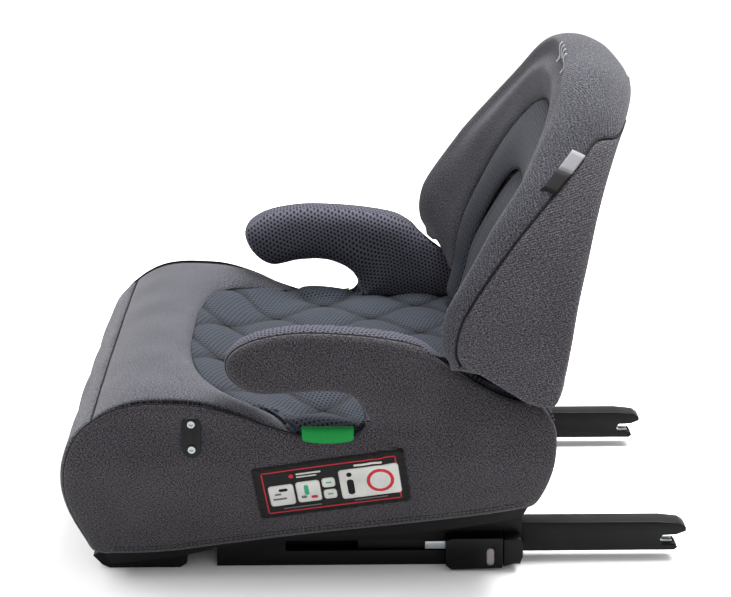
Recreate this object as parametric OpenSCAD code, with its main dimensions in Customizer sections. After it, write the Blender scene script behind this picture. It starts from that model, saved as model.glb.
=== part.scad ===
// Backless-height booster seat: padded base with armrests, a low winged backrest that
// reclines on two pins, and two sliding anchor arms. Units are millimetres.
// +X is the child's left, -Y is the front, +Z is up, and z = 0 is the surface it stands on.

/* [Seat base] */
// Height of the seat pad's top above the floor
seat_h = 150; // [146:1:154]
// Thickness of the quilted seat pad
pad_t = 22; // [16:1:24]
// Half width of the quilted seat pad
pad_half_w = 178; // [170:1:180]
// Half width of the side covers where they are widest
side_half_w = 214; // [213:1:216]
// Thickness of the padded side covers
side_t = 6; // [4:1:7]
// Wall thickness of the moulded shell
shell_wall = 3; // [2.5:0.5:4]

/* [Armrests] */
// Distance of each armrest's middle from the centre line
armrest_x = 204; // [202:1:206]
// Width of an armrest across the seat
armrest_w = 42; // [38:1:42]

/* [Backrest] */
// Lean of the backrest from upright, in degrees
back_lean = 18; // [16:1:20]
// Half width of the backrest across the wings
back_half_w = 230; // [226:1:234]
// Height of the backrest along its own lean
back_len = 268; // [262:1:270]
// Depth of the wings' ridge in front of the back's reference plane
wing_depth = 116; // [110:1:118]
// Depth of the padding's face at the middle of the back
back_face = 52; // [50:1:56]
// Diameter of the hinge pins
hinge_pin_d = 8; // [6:0.5:9]

/* [Anchor arms] */
// Distance between the middles of the two arms
arm_pitch = 280; // [278:1:282]
// Width of an arm
arm_w = 20; // [19:0.5:20.5]
// Travel of an arm into its rail
arm_travel = 120; // [100:5:120]
// Clearance of an arm in its rail, each side
arm_gap = 0.5; // [0.3:0.1:0.6]
// Stroke of the release button
button_stroke = 8; // [6:1:8]
// Angle that the hook turns through between open and latched, in degrees
hook_turn = 7; // [5:0.5:8]

/* [Hidden] */
$fn = 48;
SIDES = ["left", "right"];

// Clearance between soft pieces that lie against each other
lay_gap = 0.3;
// Front and rear limits of the whole object
front_y = -278;
rear_y = 278;

// Seat levels, from the pad down to the shell's deck
pad_z = seat_h - pad_t;
foam_t = 21;
deck_z = pad_z - foam_t - 2 * lay_gap;
cheek_z = 138;
cheek_t = 17;
cheek_front = -173;
belt_gap_z = 147;

// Hinge of the backrest
hinge_y = 130;
hinge_z = 180;
bracket_x = 187.5;
bracket_t = 3;
bracket_r = 8;
pin_gap = 0.05;

// Anchor arm levels
arm_z0 = 10;
arm_z1 = 38;
arm_front_y = -20;
arm_x = arm_pitch / 2;
rail_x0 = arm_x - arm_w / 2 - 6;
rail_x1 = arm_x + arm_w / 2 + 5;
rail_front_y = -147;
rail_rear_y = 128;
slot_z0 = 14;
slot_z1 = 24;
hook_y = 225;
hook_z = 28;
plate_t = 2;
hook_t = 4;
house_x0 = rail_x1 + 0.3;
house_x1 = 171;
house_y0 = 59;
house_y1 = 110;
window_y = 99;
window_z = 14;

// Extrudes a (y, z) outline across the seat from x0 to x1
module across(x0, x1) {
    translate([x0, 0, 0]) rotate([90, 0, 90]) linear_extrude(x1 - x0) children();
}

// Extrudes an (x, z) outline along the seat from y0 to y1
module along(y0, y1) {
    translate([0, y1, 0]) rotate([90, 0, 0]) linear_extrude(y1 - y0) children();
}

// Draws its children on the left side, or mirrored on the right side
module on_side(side) {
    if (side == "left") children();
    else mirror([1, 0, 0]) children();
}

// Box from its lowest corner to its highest corner
module box(lo, hi) {
    translate(lo) cube(hi - lo);
}

// Rod along X between x0 and x1, centred on (y, z)
module rod_x(x0, x1, y, z, r) {
    translate([x0, y, z]) rotate([0, 90, 0]) cylinder(r = r, h = x1 - x0);
}

// Closed skin through a stack of point rings that all have the same length
module skin(rings) {
    n = len(rings[0]);
    last = len(rings) - 1;
    points = [for (ring = rings) for (p = ring) p];
    walls = [for (i = [0 : last - 1]) for (j = [0 : n - 1]) let (
        a = i * n + j,
        b = i * n + (j + 1) % n)
        each [[a, b, b + n], [a, b + n, a + n]]];
    start = [for (j = [0 : n - 1]) n - 1 - j];
    end = [for (j = [0 : n - 1]) last * n + j];
    polyhedron(points = points, faces = concat(walls, [start, end]), convexity = 8);
}

// ---------------------------------------------------------------- seat base outlines

// Side view of the side covers, from the front hem over the top to the rear hem
side_outline = [[-254, 30], [-266, 50], [-275, 75], [front_y, 98], [-276, 120], [-268, 143],
    [-254, 157], [-234, 171], [-208, 180], [-182, 182], [-150, 179], [-120, 169], [-95, 156],
    [-76, 149], [-66, belt_gap_z], [-20, belt_gap_z], [-12, 150], [149, 150], [149, 120],
    [143, 99], [132, 74], [87, 66], [-1, 54], [-71, 45], [-133, 36], [-204, 27]];

// Side view of the nose cover's outer face, from the front hem to the belt gap
nose_outline = [[-258, 28], [-270, 52], [-277, 80], [front_y, 98], [-275, 122], [-267, 144],
    [-252, 163], [-232, 178], [-205, 188], [-175, 190], [-145, 187], [-118, 178], [-98, 166],
    [-86, 153], [-82, 139], [-82, 100], [-170, 60], [-240, 26]];

// Side view of the shell under the nose, the deck and the rear upstand
shell_outline = [[-240, 12], [-252, 40], [-262, 70], [-264, 95], [-261, 120], [-252, 142],
    [-236, 158], [-215, 168], [-190, 172], [-173, 170], [-172, deck_z], [98, deck_z],
    [104, 150], [116, 163], [128, 167], [138, 160], [144, 148], [145, 132], [143, 116],
    [138, 99], [130, 74], [125, 62], [101, 55], [63, 48], [0, 42], [-89, 40], [-133, 32],
    [-177, 20]];

// Front view of the shell's right half: half width against height
shell_half = side_half_w - side_t - 0.4;
side_drop = 122;
function shell_x(z) = shell_half - max(0, side_drop - z) * 0.30;
function side_x(z) = shell_x(z) + side_t + 0.4;
levels = [20, 60, side_drop, 200];

// Front-view band that lies between two offsets outside the shell's wall
module side_band(inner, outer) {
    polygon(concat([for (z = levels) [shell_x(z) + inner, z]],
        [for (i = [len(levels) - 1 : -1 : 0]) [shell_x(levels[i]) + outer, levels[i]]]));
}

// Front view of everything inside the shell's wall less an inset
module shell_front(inset) {
    half = [for (z = levels) [shell_x(z) - inset, z]];
    polygon(concat([[-shell_x(0) + inset, -5]], [[shell_x(0) - inset, -5]], half,
        [for (i = [len(levels) - 1 : -1 : 0]) [-half[i][0], half[i][1]]]));
}

// Plan view of the well that the seat pad lies in, round at its front corners
well_front = -172;
well_r = 80;
module well_plan(grow) {
    w = pad_half_w + grow;
    r = well_r + grow;
    polygon(concat([[w, 90], [w, well_front + well_r]],
        [for (a = [0 : -15 : -90]) [w - r + r * cos(a), well_front + well_r + r * sin(a)]],
        [for (a = [-90 : -15 : -180]) [-w + r + r * cos(a), well_front + well_r + r * sin(a)]],
        [[-w, 90]]));
}

// Pocket in the shell's rear corner for the hinge plates and the pin's ends
module hinge_pocket() {
    box([177, 110, 112], [195, 152, 205]);
}

// ------------------------------------------------------------------- seat base pieces

// Bosses under the deck that the rail screws bite into
boss_x = rail_x0 - 6;
boss_ys = [-125, -20, 100];

module base_shell() {
    foot = [[-258, 12], [-250, 3], [-243, 0], [-180, 0], [-174, 4], [-172, 24], [-240, 24]];
    color("#1e1e1f") difference() {
        union() {
            // moulded tub with its nose and rear upstand
            difference() {
                intersection() {
                    across(-220, 220) polygon(shell_outline);
                    along(-290, 290) shell_front(0);
                }
                intersection() {
                    across(-220, 220) union() {
                        offset(delta = -shell_wall) polygon(shell_outline);
                        translate([0, -2 * shell_wall]) offset(delta = -shell_wall)
                            polygon(shell_outline);
                    }
                    along(-290, 290) shell_front(shell_wall);
                }
            }
            // front foot, a shallow tray open above
            difference() {
                across(-157, 157) polygon(foot);
                across(-153, 153) translate([0, 3]) offset(delta = -1.5) polygon(foot);
            }
            // cheeks that carry the side covers and the armrests
            intersection() {
                for (s = [-1, 1]) scale([s, 1, 1])
                    box([shell_half - cheek_t, cheek_front, deck_z - 6], [shell_half, 104, cheek_z]);
                along(-290, 290) shell_front(0);
            }
            // long ribs either side of each rail
            for (x = [-172, -108, -36, 36, 108, 172])
                across(x - 1.2, x + 1.2) polygon([[-170, 44], [-170, deck_z - 1],
                    [100, deck_z - 1], [122, 70], [60, 52], [-80, 46]]);
            for (s = [-1, 1], y = boss_ys)
                translate([s * boss_x, y, 44.2]) cylinder(r = 5.5, h = deck_z - 45);
        }
        for (s = [-1, 1], y = boss_ys)
            translate([s * boss_x, y, 40]) cylinder(r = 2.05, h = 25);
        for (s = [-1, 1]) scale([s, 1, 1]) {
            // hollow under each cheek, and the slot for the hinge plate
            box([shell_half - cheek_t + 3, -168, deck_z - 20], [shell_half - 3, 99, cheek_z - 3]);
            hinge_pocket();
            for (z = screw_zs) rod_x(shell_half - 10, shell_half + 2, screw_y, z, 1.8);
        }
    }
}

module seat_foam() {
    color("#e8e4d8") translate([0, 0, deck_z + lay_gap]) linear_extrude(foam_t) difference() {
        well_plan(-8);
        translate([-250, 78]) square([500, 60]);
    }
}

module quilted_pad() {
    profile = [[-173, pad_z], [-173, 172], [-158, 166], [-132, 156], [-100, seat_h + 1],
        [-60, seat_h], [80, seat_h], [80, pad_z]];
    color("#454b58") intersection() {
        across(-200, 200) polygon(profile);
        translate([0, 0, 100]) linear_extrude(100) well_plan(0);
    }
}

module nose_cover() {
    color("#6c6d75") difference() {
        intersection() {
            across(-220, 220) polygon(nose_outline);
            along(-290, 290) shell_front(-0.1);
        }
        // the shell's nose, cheeks and foot
        across(-220, 220) offset(delta = lay_gap) polygon(shell_outline);
        box([-220, cheek_front - 0.5, -20], [220, 120, cheek_z + lay_gap]);
        box([-160, -262, -5], [160, -171, 25]);
        translate([0, 0, 20]) linear_extrude(200) well_plan(lay_gap);
        for (s = [-1, 1], z = screw_zs) scale([s, 1, 1])
            rod_x(shell_half - 12, side_half_w, screw_y, z, 2.2);
    }
}

module rear_cover() {
    color("#4a474b") difference() {
        across(-176.5, 176.5) polygon([[97, 152], [106, 166], [117, 169.5], [130, 171.5],
            [141, 164], [148, 150], [149, 132], [147, 115], [141, 96], [131, 68], [128, 72],
            [120, 110], [110, 140]]);
        across(-180, 180) offset(delta = 0.3) polygon(shell_outline);
    }
}

module side_cover(side) {
    on_side(side) color("#4a474b") difference() {
        intersection() {
            across(150, 230) polygon(side_outline);
            along(-290, 290) side_band(0.4, side_t + 0.4);
        }
        for (z = screw_zs) rod_x(side_half_w - 12, side_half_w + 2, screw_y, z, 2.2);
    }
}

// Side view of an armrest with its root
armrest_outline = [[-131, 212], [-129, 221], [-122, 229], [-110, 234], [-92, 239], [-68, 241],
    [-30, 240], [7, 235], [26, 228], [38, 216], [50, 206], [64, 198], [80, 189], [98, 180],
    [112, 175], [128, 171], [140, 164], [148, 152], [148, 150.4], [-14, 150.4], [-13, 170],
    [-20, 182], [-32, 189], [-55, 190.5], [-80, 189], [-104, 189], [-118, 194], [-127, 203]];

// Side view of the armrest's core, a moulded plate that stands on the cheek
core_outline = [[-120, 212], [-116, 222], [-104, 228], [-68, 233], [-30, 232], [5, 227],
    [22, 216], [46, 197], [72, 180], [90, 168], [90, cheek_z + lay_gap],
    [-4, cheek_z + lay_gap], [-4, 172], [-15, 190], [-32, 198], [-100, 198], [-112, 202]];
core_t = 10;
core_x0 = shell_half - cheek_t + 3;

module armrest_core(side) {
    on_side(side) color("#2a2a2c") across(core_x0, core_x0 + core_t) polygon(core_outline);
}

module armrest_pad(side) {
    x0 = armrest_x - armrest_w / 2;
    x1 = armrest_x + armrest_w / 2;
    on_side(side) color("#3f3e4a") difference() {
        across(x0, x1) polygon(armrest_outline);
        across(core_x0 - lay_gap, core_x0 + core_t + lay_gap) {
            offset(delta = lay_gap) polygon(core_outline);
        }
        across(x0 - 1, x1 + 1) offset(delta = lay_gap) polygon(shell_outline);
        hinge_pocket();
    }
}

module belt_tab(side) {
    top = belt_gap_z + lay_gap;
    on_side(side) color("#0aa04a") along(-68, -25)
        polygon([[shell_half - cheek_t, top], [shell_half - cheek_t, top + 3],
            [side_half_w + 3.5, top + 3], [side_half_w + 3.5, top - 8],
            [side_half_w + lay_gap, top - 8], [side_half_w + lay_gap, top]]);
}

// Guide socket plate on each side, a stadium held by two screws
screw_y = -162;
screw_zs = [138, 161];
plate_r = 8;
plate_x0 = side_half_w + lay_gap;
module socket_plate(side) {
    on_side(side) color("#17171a") difference() {
        hull() for (z = screw_zs) rod_x(plate_x0, plate_x0 + 3, screw_y, z, plate_r);
        for (z = screw_zs) rod_x(plate_x0 - 1, plate_x0 + 4, screw_y, z, 2.0);
    }
}

module plate_screws(side) {
    on_side(side) color("#b9bcbf") for (z = screw_zs) difference() {
        union() {
            rod_x(shell_half - 9, plate_x0 + 3.1, screw_y, z, 1.75);
            rod_x(plate_x0 + 3.1, plate_x0 + 4.6, screw_y, z, 3.3);
        }
        // cross recess
        for (a = [0, 90]) translate([plate_x0 + 4.6, screw_y, z]) rotate([a, 0, 0])
            cube([1.8, 3.6, 0.9], center = true);
    }
}

// Textile label sewn on the left side cover
label_tilt = 8.5;
module label_patch() {
    color("#101012") intersection() {
        along(-200, 60) side_band(side_t + 0.6, side_t + 1.8);
        translate([150, -43, 101]) rotate([label_tilt, 0, 0])
            cube([200, 132, 54], center = true);
    }
}

// ----------------------------------------------------------------- rails and screws

module rail(side) {
    on_side(side) color("#1b1b1c") difference() {
        union() {
            box([rail_x0, rail_front_y, 0], [rail_x1, rail_rear_y, arm_z1 + 6]);
            // raised block that ties the rail's rear end to the shell
            box([rail_x0, rail_rear_y - 18, arm_z1 + 2], [rail_x1, rail_rear_y, 52]);
            for (y = boss_ys) box([boss_x - 7, y - 8, 41], [rail_x0 + 1, y + 8, 44]);
        }
        // channel for the arm, open at the rear
        box([arm_x - arm_w / 2 - arm_gap, rail_front_y + 4, arm_z0 - arm_gap],
            [arm_x + arm_w / 2 + arm_gap, rail_rear_y + 1, arm_z1 + arm_gap]);
        // guide slot through the outer wall
        box([arm_x, house_y0 - 24 - arm_travel, slot_z0], [rail_x1 + 1, rail_rear_y + 1, slot_z1]);
        // lightening channel in the runner
        box([rail_x0 + 6, rail_front_y + 12, -1], [rail_x1 - 6, rail_rear_y - 12, 5]);
        for (y = boss_ys) translate([boss_x, y, 30]) cylinder(r = 2.2, h = 20);
    }
}

module rail_screws() {
    color("#b9bcbf") for (s = [-1, 1], y = boss_ys) translate([s * boss_x, y, 0]) difference() {
        union() {
            translate([0, 0, 37.9]) cylinder(r = 4, h = 3);
            translate([0, 0, 40.5]) cylinder(r = 2, h = 19);
        }
        for (a = [0, 90]) rotate([0, 0, a]) translate([0, 0, 37.9])
            cube([4.4, 1, 2.4], center = true);
    }
}

// ---------------------------------------------------------------- hinge of the backrest

module hinge_bracket(side) {
    on_side(side) color("#b4b8ba") difference() {
        across(bracket_x, bracket_x + bracket_t) union() {
            translate([hinge_y, hinge_z]) circle(r = bracket_r);
            polygon([[hinge_y - bracket_r, hinge_z], [hinge_y + bracket_r, hinge_z],
                [hinge_y + bracket_r, 113], [hinge_y - 16, 113], [hinge_y - 16, 150]]);
        }
        rod_x(bracket_x - 1, bracket_x + bracket_t + 1, hinge_y, hinge_z,
            hinge_pin_d / 2 + 0.02);
        for (z = [120, 138]) rod_x(bracket_x - 1, bracket_x + 5, hinge_y - 4, z, 2.6);
    }
}

module hinge_pin(side) {
    x0 = bracket_x - bracket_t - 2;
    x1 = bracket_x + bracket_t + 0.3;
    on_side(side) color("#c3c6c8") {
        rod_x(x0, x1, hinge_y, hinge_z, hinge_pin_d / 2);
        rod_x(x1, x1 + 2.5, hinge_y, hinge_z, hinge_pin_d / 2 + 2.5);
        rod_x(x0 - 1.8, x0, hinge_y, hinge_z, hinge_pin_d / 2 + 2);
    }
}

module back_bracket(side) {
    x0 = bracket_x - bracket_t - 0.3;
    on_side(side) color("#b4b8ba") difference() {
        union() {
            rod_x(x0, x0 + bracket_t, hinge_y, hinge_z, bracket_r);
            on_back() across(x0, x0 + bracket_t) polygon([[-9, -9], [-21, -9], [-38, 12],
                [-38, 62], [-28, 62], [-28, 20]]);
        }
        rod_x(x0 - 1, x0 + bracket_t + 1, hinge_y, hinge_z, hinge_pin_d / 2 + pin_gap);
        on_back() for (t = [24, 52]) rod_x(x0 - 1, x0 + 5, -33, t, 2.6);
    }
}

// ------------------------------------------------------------------------ anchor arms

// Side view of an arm with the jaws at its rear end
sheath_outline = [[arm_front_y, arm_z0], [268, arm_z0], [271, 12.5], [269, 15.5], [257, 15.5],
    [254.5, 20], [257, 24.5], [269, 25], [rear_y, 28.5], [rear_y, 32], [272, 36], [254, arm_z1],
    [arm_front_y, arm_z1]];

// Side view of the steel plates, whose lower lip stands above the plastic jaw
plates_outline = [[150.5, 14], [265.5, 14], [266.5, 17.5], [257.5, 17.5], [255.8, 20.5],
    [258, 24.8], [268, 25.4], [272, 29], [272, 33.6], [253, 34], [150.5, 34]];

module sheath(side) {
    on_side(side) color("#1c1c1d") difference() {
        across(arm_x - arm_w / 2, arm_x + arm_w / 2) polygon(sheath_outline);
        // chamber for the steel plates, the hook and the pull rod
        box([arm_x - 4.5, 96, 13.6], [arm_x + 4.5, 274, 34.5]);
        box([arm_x - 4.5, 256, 13.6], [arm_x + 4.5, 280, 24.6]);
        // slot for the pull rod's tab
        box([arm_x, house_y1 + 1, 17.5], [arm_x + arm_w, house_y1 + 11 + button_stroke, 22.5]);
    }
}

module steel_core(side) {
    on_side(side) color("#b9c0c2") difference() {
        for (x = [arm_x - 4.3, arm_x + 4.3 - plate_t]) across(x, x + plate_t)
            polygon(plates_outline);
        rod_x(arm_x - 6, arm_x + 6, hook_y, hook_z, 3.02);
    }
}

// The hook is drawn raised, with its claw out of the notch
module hook(side) {
    on_side(side) color("#c3c6c8") translate([arm_x - hook_t / 2, hook_y, hook_z])
        rotate([hook_turn, 0, 0]) translate([0, -hook_y, -hook_z]) difference() {
            across(0, hook_t) union() {
                translate([hook_y, hook_z]) circle(r = 6);
                polygon([[hook_y, hook_z - 5], [hook_y + 20, hook_z - 4], [262, 24.6], [262, 20],
                    [267.5, 20], [268.5, 28], [hook_y, hook_z + 3]]);
            }
            rod_x(-1, hook_t + 1, hook_y, hook_z, 3.05);
        }
}

module hook_pin(side) {
    on_side(side) color("#c3c6c8") rod_x(arm_x - 4.3, arm_x + 4.3, hook_y, hook_z, 3);
}

module slot_strap(side) {
    on_side(side) color("#b9c0c2")
        box([arm_x + arm_w / 2 + 0.1, house_y0 - 18, slot_z0 + 1.2],
            [rail_x1, house_y1 - 8, slot_z1 - 1.2]);
}

module latch_housing(side) {
    outline = [[house_y0, 30], [house_y0, 6], [house_y0 + 5, 2], [house_y1, 3.5],
        [house_y1, 32], [house_y0 + 6, 32]];
    on_side(side) color("#1d1d1e") difference() {
        across(house_x0, house_x1) polygon(outline);
        box([house_x0 + 2, house_y0 + 3, 5.5], [house_x1 - 2, house_y1 + 1, 30]);
        hull() for (z = [window_z - 5, window_z + 5]) rod_x(house_x1 - 3, house_x1 + 1,
            window_y, z, 3.4);
    }
}

module window_lens(side) {
    on_side(side) color("#d8dde0") hull() for (z = [window_z - 5, window_z + 5])
        rod_x(house_x1 - 2, house_x1 - 0.4, window_y, z, 3.2);
}

module release_button(side) {
    y0 = house_y1 + 0.5;
    on_side(side) color("#222223") across(house_x0 + 0.2, house_x1 - 0.6)
        polygon([[y0, 4], [y0 + 16, 8], [y0 + 18, 14], [y0 + 18, 26], [y0 + 16, 31],
            [y0, 31]]);
}

module pull_rod(side) {
    tab_y = house_y1 + 2;
    on_side(side) color("#c3c6c8") {
        box([arm_x - 1, 100, 29], [arm_x + 1, 206, 32]);
        box([arm_x - 1, tab_y, 18], [arm_x + 1, tab_y + 7, 29]);
        box([arm_x + 1, tab_y, 18], [house_x0, tab_y + 7, 22]);
    }
}

module indicator_flag(side) {
    on_side(side) color("#a3323a")
        box([house_x1 - 6, window_y - 12, 7], [house_x1 - 4, house_y1 + 0.4, 22]);
}

// ---------------------------------------------------------------------------- backrest

// Places children drawn with -Y forward and +Z up the lean on the reclined back
module on_back() {
    translate([0, 147, 185]) rotate([-back_lean, 0, 0]) children();
}

// Arches that the backrest's seams follow: half width, shoulder level and rise above it
INNER = [118, 20, 111];
OUTER = [155, 44, 157];
RIDGE = [back_half_w - 10, 48, back_len - 58];
SEAM = [back_half_w, 50, back_len - 50];
REAR = [back_half_w - 14, 50, back_len - 68];

// Point of an arch at a turn of 0 at the shoulder to 90 at the top
function arch_point(arch, turn) = [arch[0] * pow(cos(turn), 0.84),
    arch[1] + arch[2] * pow(sin(turn), 1.43)];

// One side of an arch from its foot to its top, and both sides as one run
TURNS = [0, 14, 27, 39, 50, 60, 69, 77, 84];
function arch_half(arch, foot) = concat([[arch[0], foot], [arch[0], (foot + arch[1]) / 2]],
    [for (turn = TURNS) arch_point(arch, turn)]);
function arch_run(arch, foot) = let (half = arch_half(arch, foot), n = len(half))
    concat([for (p = half) p], [for (i = [n - 1 : -1 : 0]) [-half[i][0], half[i][1]]]);

// Depths of the padding in front of the reference plane, at a height t up the lean
function ridge_depth(t) = wing_depth - 116 + lookup(t, [[-40, 88], [2, 98], [13, 107],
    [27, 113], [40, 116], [55, 114], [75, 108], [112, 97], [125, 92], [165, 79], [210, 68],
    [260, 60]]);
function seam_depth(t) = lookup(t, [[-10, 84], [7, 91.5], [25, 97], [47, 97], [81, 88.5],
    [134, 67], [162, 53], [197, 34], [211, 27], [241, 3]]);
function rear_depth(t) = lookup(t, [[-10, -7], [25, -3], [77, 3], [114, 4.5], [149, 6.5],
    [181, 6.5], [215, 5], [270, 3]]);
function rear_crown(f, t) = rear_depth(t) - 5 * (1 - f * f);
function face_depth(t) = back_face - lookup(t, [[130, 0], [210, 5]]);
function bowl_depth(share, t) = face_depth(t) + (ridge_depth(t) - face_depth(t)) * pow(share, 3.2);

// Piece between two faces inside an arch: front and back depths are given by share and height
FRACTIONS = [for (i = [-6 : 6]) i / 6];
module arch_slab(arch, foot, front, back) {
    half = arch_half(arch, foot);
    skin([for (p = half) concat(
        [for (f = FRACTIONS) [f * p[0], -front(abs(f), p[1]), p[1]]],
        [for (i = [len(FRACTIONS) - 1 : -1 : 0]) let (f = FRACTIONS[i])
            [f * p[0], -back(abs(f), p[1]), p[1]]])]);
}

// Share of the way from the middle to the ridge at which an arch lies
function arch_share(arch) = arch[0] / RIDGE[0];

module inner_insert() {
    share = arch_share(INNER) * 0.99;
    color("#3c414d") on_back() arch_slab([INNER[0] - 1, INNER[1], INNER[2] - 1], -42,
        function (f, t) bowl_depth(f * share, t), function (f, t) bowl_depth(f * share, t) - 9);
}

// Ring of padding between two arches, with an outline of [arch, depth] pairs at each step
module arch_ring(foot, corners) {
    runs = [for (c = corners) arch_run(c[0], foot)];
    skin([for (i = [0 : len(runs[0]) - 1]) [for (k = [0 : len(corners) - 1])
        [runs[k][i][0], -corners[k][1](runs[k][i][1]), runs[k][i][1]]]]);
}

module outer_insert() {
    inner = [INNER[0] + 0.5, INNER[1], INNER[2] + 0.5];
    outer = [OUTER[0] - 0.5, OUTER[1], OUTER[2] - 0.5];
    s0 = arch_share(INNER);
    s1 = arch_share(OUTER);
    color("#41444f") on_back() arch_ring(-36, [
        [inner, function (t) bowl_depth(s0, t)],
        [outer, function (t) bowl_depth(s1, t)],
        [outer, function (t) bowl_depth(s1, t) - 10],
        [inner, function (t) bowl_depth(s0, t) - 10]]);
}

// Soft bolster from the mesh insert over the ridge to the side seam
MIDDLE = [190, 46, 180];
module backrest_bolster() {
    s1 = arch_share(OUTER);
    s2 = arch_share(MIDDLE);
    color("#6c6d75") on_back() arch_ring(0, [
        [[OUTER[0] + 0.5, OUTER[1], OUTER[2] + 0.5], function (t) bowl_depth(s1, t)],
        [MIDDLE, function (t) bowl_depth(s2, t)],
        [RIDGE, function (t) ridge_depth(t)],
        [[SEAM[0] - 2, SEAM[1], SEAM[2] - 2], function (t) ridge_depth(t) - 10],
        [SEAM, function (t) max(seam_depth(t), rear_depth(t) + 6)],
        [[RIDGE[0] - 6, RIDGE[1], RIDGE[2] - 6],
            function (t) max(seam_depth(t), rear_depth(t) + 6) - 3],
        [[OUTER[0] + 12, OUTER[1], OUTER[2] + 12],
            function (t) max(bowl_depth(s1, t) - 22, rear_depth(t) + 12)]]);
}

// Outer face of a wing, from the bolster's seam back to the rear cover
wing_in = 12.8;
module wing_panel(side) {
    half = [for (p = arch_half(SEAM, -6)) if (p[1] < 190) p];
    on_side(side) color("#4a474b") on_back() skin([for (p = half) let (
        t = p[1],
        front = seam_depth(t) - 0.6,
        rear = rear_depth(t) + 1,
        inner = p[0] - wing_in)
        [[p[0], -front, t], [p[0] - 8, -front + 3, t], [inner, -rear - 5, t],
            [inner, -rear, t], [inner + 2.3, -rear, t]]]);
}

module backrest_foam() {
    s1 = arch_share(OUTER);
    color("#e8e4d8") on_back() arch_slab([OUTER[0] - 1, OUTER[1], OUTER[2] - 1], 3,
        function (f, t) bowl_depth(f * s1, t) - 11.5, function (f, t) rear_crown(f, t) + 10);
}

module backrest_board() {
    color("#26262a") on_back() arch_slab([bracket_x - bracket_t - 0.6, REAR[1], REAR[2] - 10], 3,
        function (f, t) rear_crown(f, t) + 9, function (f, t) rear_crown(f, t) + 4.5);
}

module backrest_rear_cover() {
    color("#4a474b") on_back() arch_slab(REAR, 2, function (f, t) rear_crown(f, t) + 4,
        function (f, t) rear_crown(f, t));
}

// Folded textile tag in the left wing's rear seam
module seam_tag() {
    turn = 50;
    p = arch_point(SEAM, turn);
    color("#8f9092") on_back() translate([p[0] + 3, -seam_depth(p[1]) + 7, p[1]])
        rotate([0, -32, 0]) cube([1.2, 13, 38], center = true);
}

base_shell();
seat_foam();
quilted_pad();
nose_cover();
rear_cover();
label_patch();
rail_screws();
backrest_board();
backrest_foam();
backrest_bolster();
outer_insert();
inner_insert();
backrest_rear_cover();
seam_tag();
for (side = SIDES) {
    side_cover(side);
    armrest_core(side);
    armrest_pad(side);
    belt_tab(side);
    socket_plate(side);
    plate_screws(side);
    rail(side);
    hinge_bracket(side);
    hinge_pin(side);
    sheath(side);
    steel_core(side);
    hook(side);
    hook_pin(side);
    slot_strap(side);
    latch_housing(side);
    window_lens(side);
    release_button(side);
    pull_rod(side);
    indicator_flag(side);
    wing_panel(side);
    back_bracket(side);
}
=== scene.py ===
"""Looks of a reclining booster seat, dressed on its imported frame.

Shapes are worked out in millimetres and turned to metres when a mesh is made.
+X is the child's left, -Y is the front and +Z is up.
"""

import logging
import math
from dataclasses import dataclass, field
from enum import Enum
from typing import Callable, Iterable, Sequence

import bmesh
import bpy
import numpy as np
from mathutils import Matrix, Vector
from mathutils.geometry import delaunay_2d_cdt


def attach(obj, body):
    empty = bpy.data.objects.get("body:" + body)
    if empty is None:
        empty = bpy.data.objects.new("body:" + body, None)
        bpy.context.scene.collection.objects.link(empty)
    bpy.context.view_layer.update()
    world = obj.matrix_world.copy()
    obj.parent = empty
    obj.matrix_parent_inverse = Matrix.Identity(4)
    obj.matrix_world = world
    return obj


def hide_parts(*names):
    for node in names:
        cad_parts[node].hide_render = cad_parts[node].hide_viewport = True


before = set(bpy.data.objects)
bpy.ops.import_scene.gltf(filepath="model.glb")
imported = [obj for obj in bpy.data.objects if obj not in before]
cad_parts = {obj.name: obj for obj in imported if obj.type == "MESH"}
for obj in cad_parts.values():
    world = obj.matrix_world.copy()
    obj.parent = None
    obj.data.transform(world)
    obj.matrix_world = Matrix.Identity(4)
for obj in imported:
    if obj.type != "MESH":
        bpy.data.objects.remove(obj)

LOG = logging.getLogger("booster_seat")
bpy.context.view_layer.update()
MM = 0.001
CLOTH_UV = "Cloth"
# Name of the point attribute that holds painted shade for the quilt's stitch valleys: 1 on a stitch line,
# 0 in the middle of a cell.
VALLEY_SHADE = "Sewn"
Array = np.ndarray


# ------------------------------------------------------------------ small shape tools


class Side(Enum):
    """The two sides of the seat, with the sign of their X."""

    LEFT = 1
    RIGHT = -1

    @property
    def word(self) -> str:
        """The side's name as the frame's nodes have it."""
        return self.name.lower()


def ease(value: Array, start: float, end: float) -> Array:
    """Rises smoothly from 0 at start to 1 at end.

    Args:
        value: Numbers to look up.
        start: Where the rise begins.
        end: Where the rise ends.

    Returns:
        The share risen, from 0 to 1.
    """
    share = np.clip((np.asarray(value, float) - start) / (end - start), 0, 1)
    return share * share * (3 - 2 * share)


def edge_drop(distance: Array, reach: float, depth: float) -> Array:
    """How far a padded panel falls near its seam, as a quarter round.

    Args:
        distance: Distance of each point from the seam.
        reach: Distance at which the panel is at its full height.
        depth: Fall at the seam itself.

    Returns:
        The fall of each point.
    """
    share = 1 - np.clip(np.asarray(distance, float) / reach, 0, 1)
    return depth * (1 - np.sqrt(1 - share * share))


def ripple(first: Array, second: Array, size: float, depth: float) -> Array:
    """Gentle unevenness of stretched cloth, as a sum of crossing waves.

    Args:
        first: First coordinate across the cloth.
        second: Second coordinate across the cloth.
        size: Rough width of one wave.
        depth: Greatest height of the result.

    Returns:
        The height of each point.
    """
    total = np.zeros_like(np.asarray(first, float))
    for turn, pace, shift in ((0.4, 1.0, 0.3), (1.5, 0.73, 1.9), (2.5, 1.37, 4.1), (3.6, 0.58, 5.2)):
        along = first * math.cos(turn) + second * math.sin(turn)
        total += np.sin(along * pace * math.tau / size + shift)
    return total * depth / 4


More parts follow.
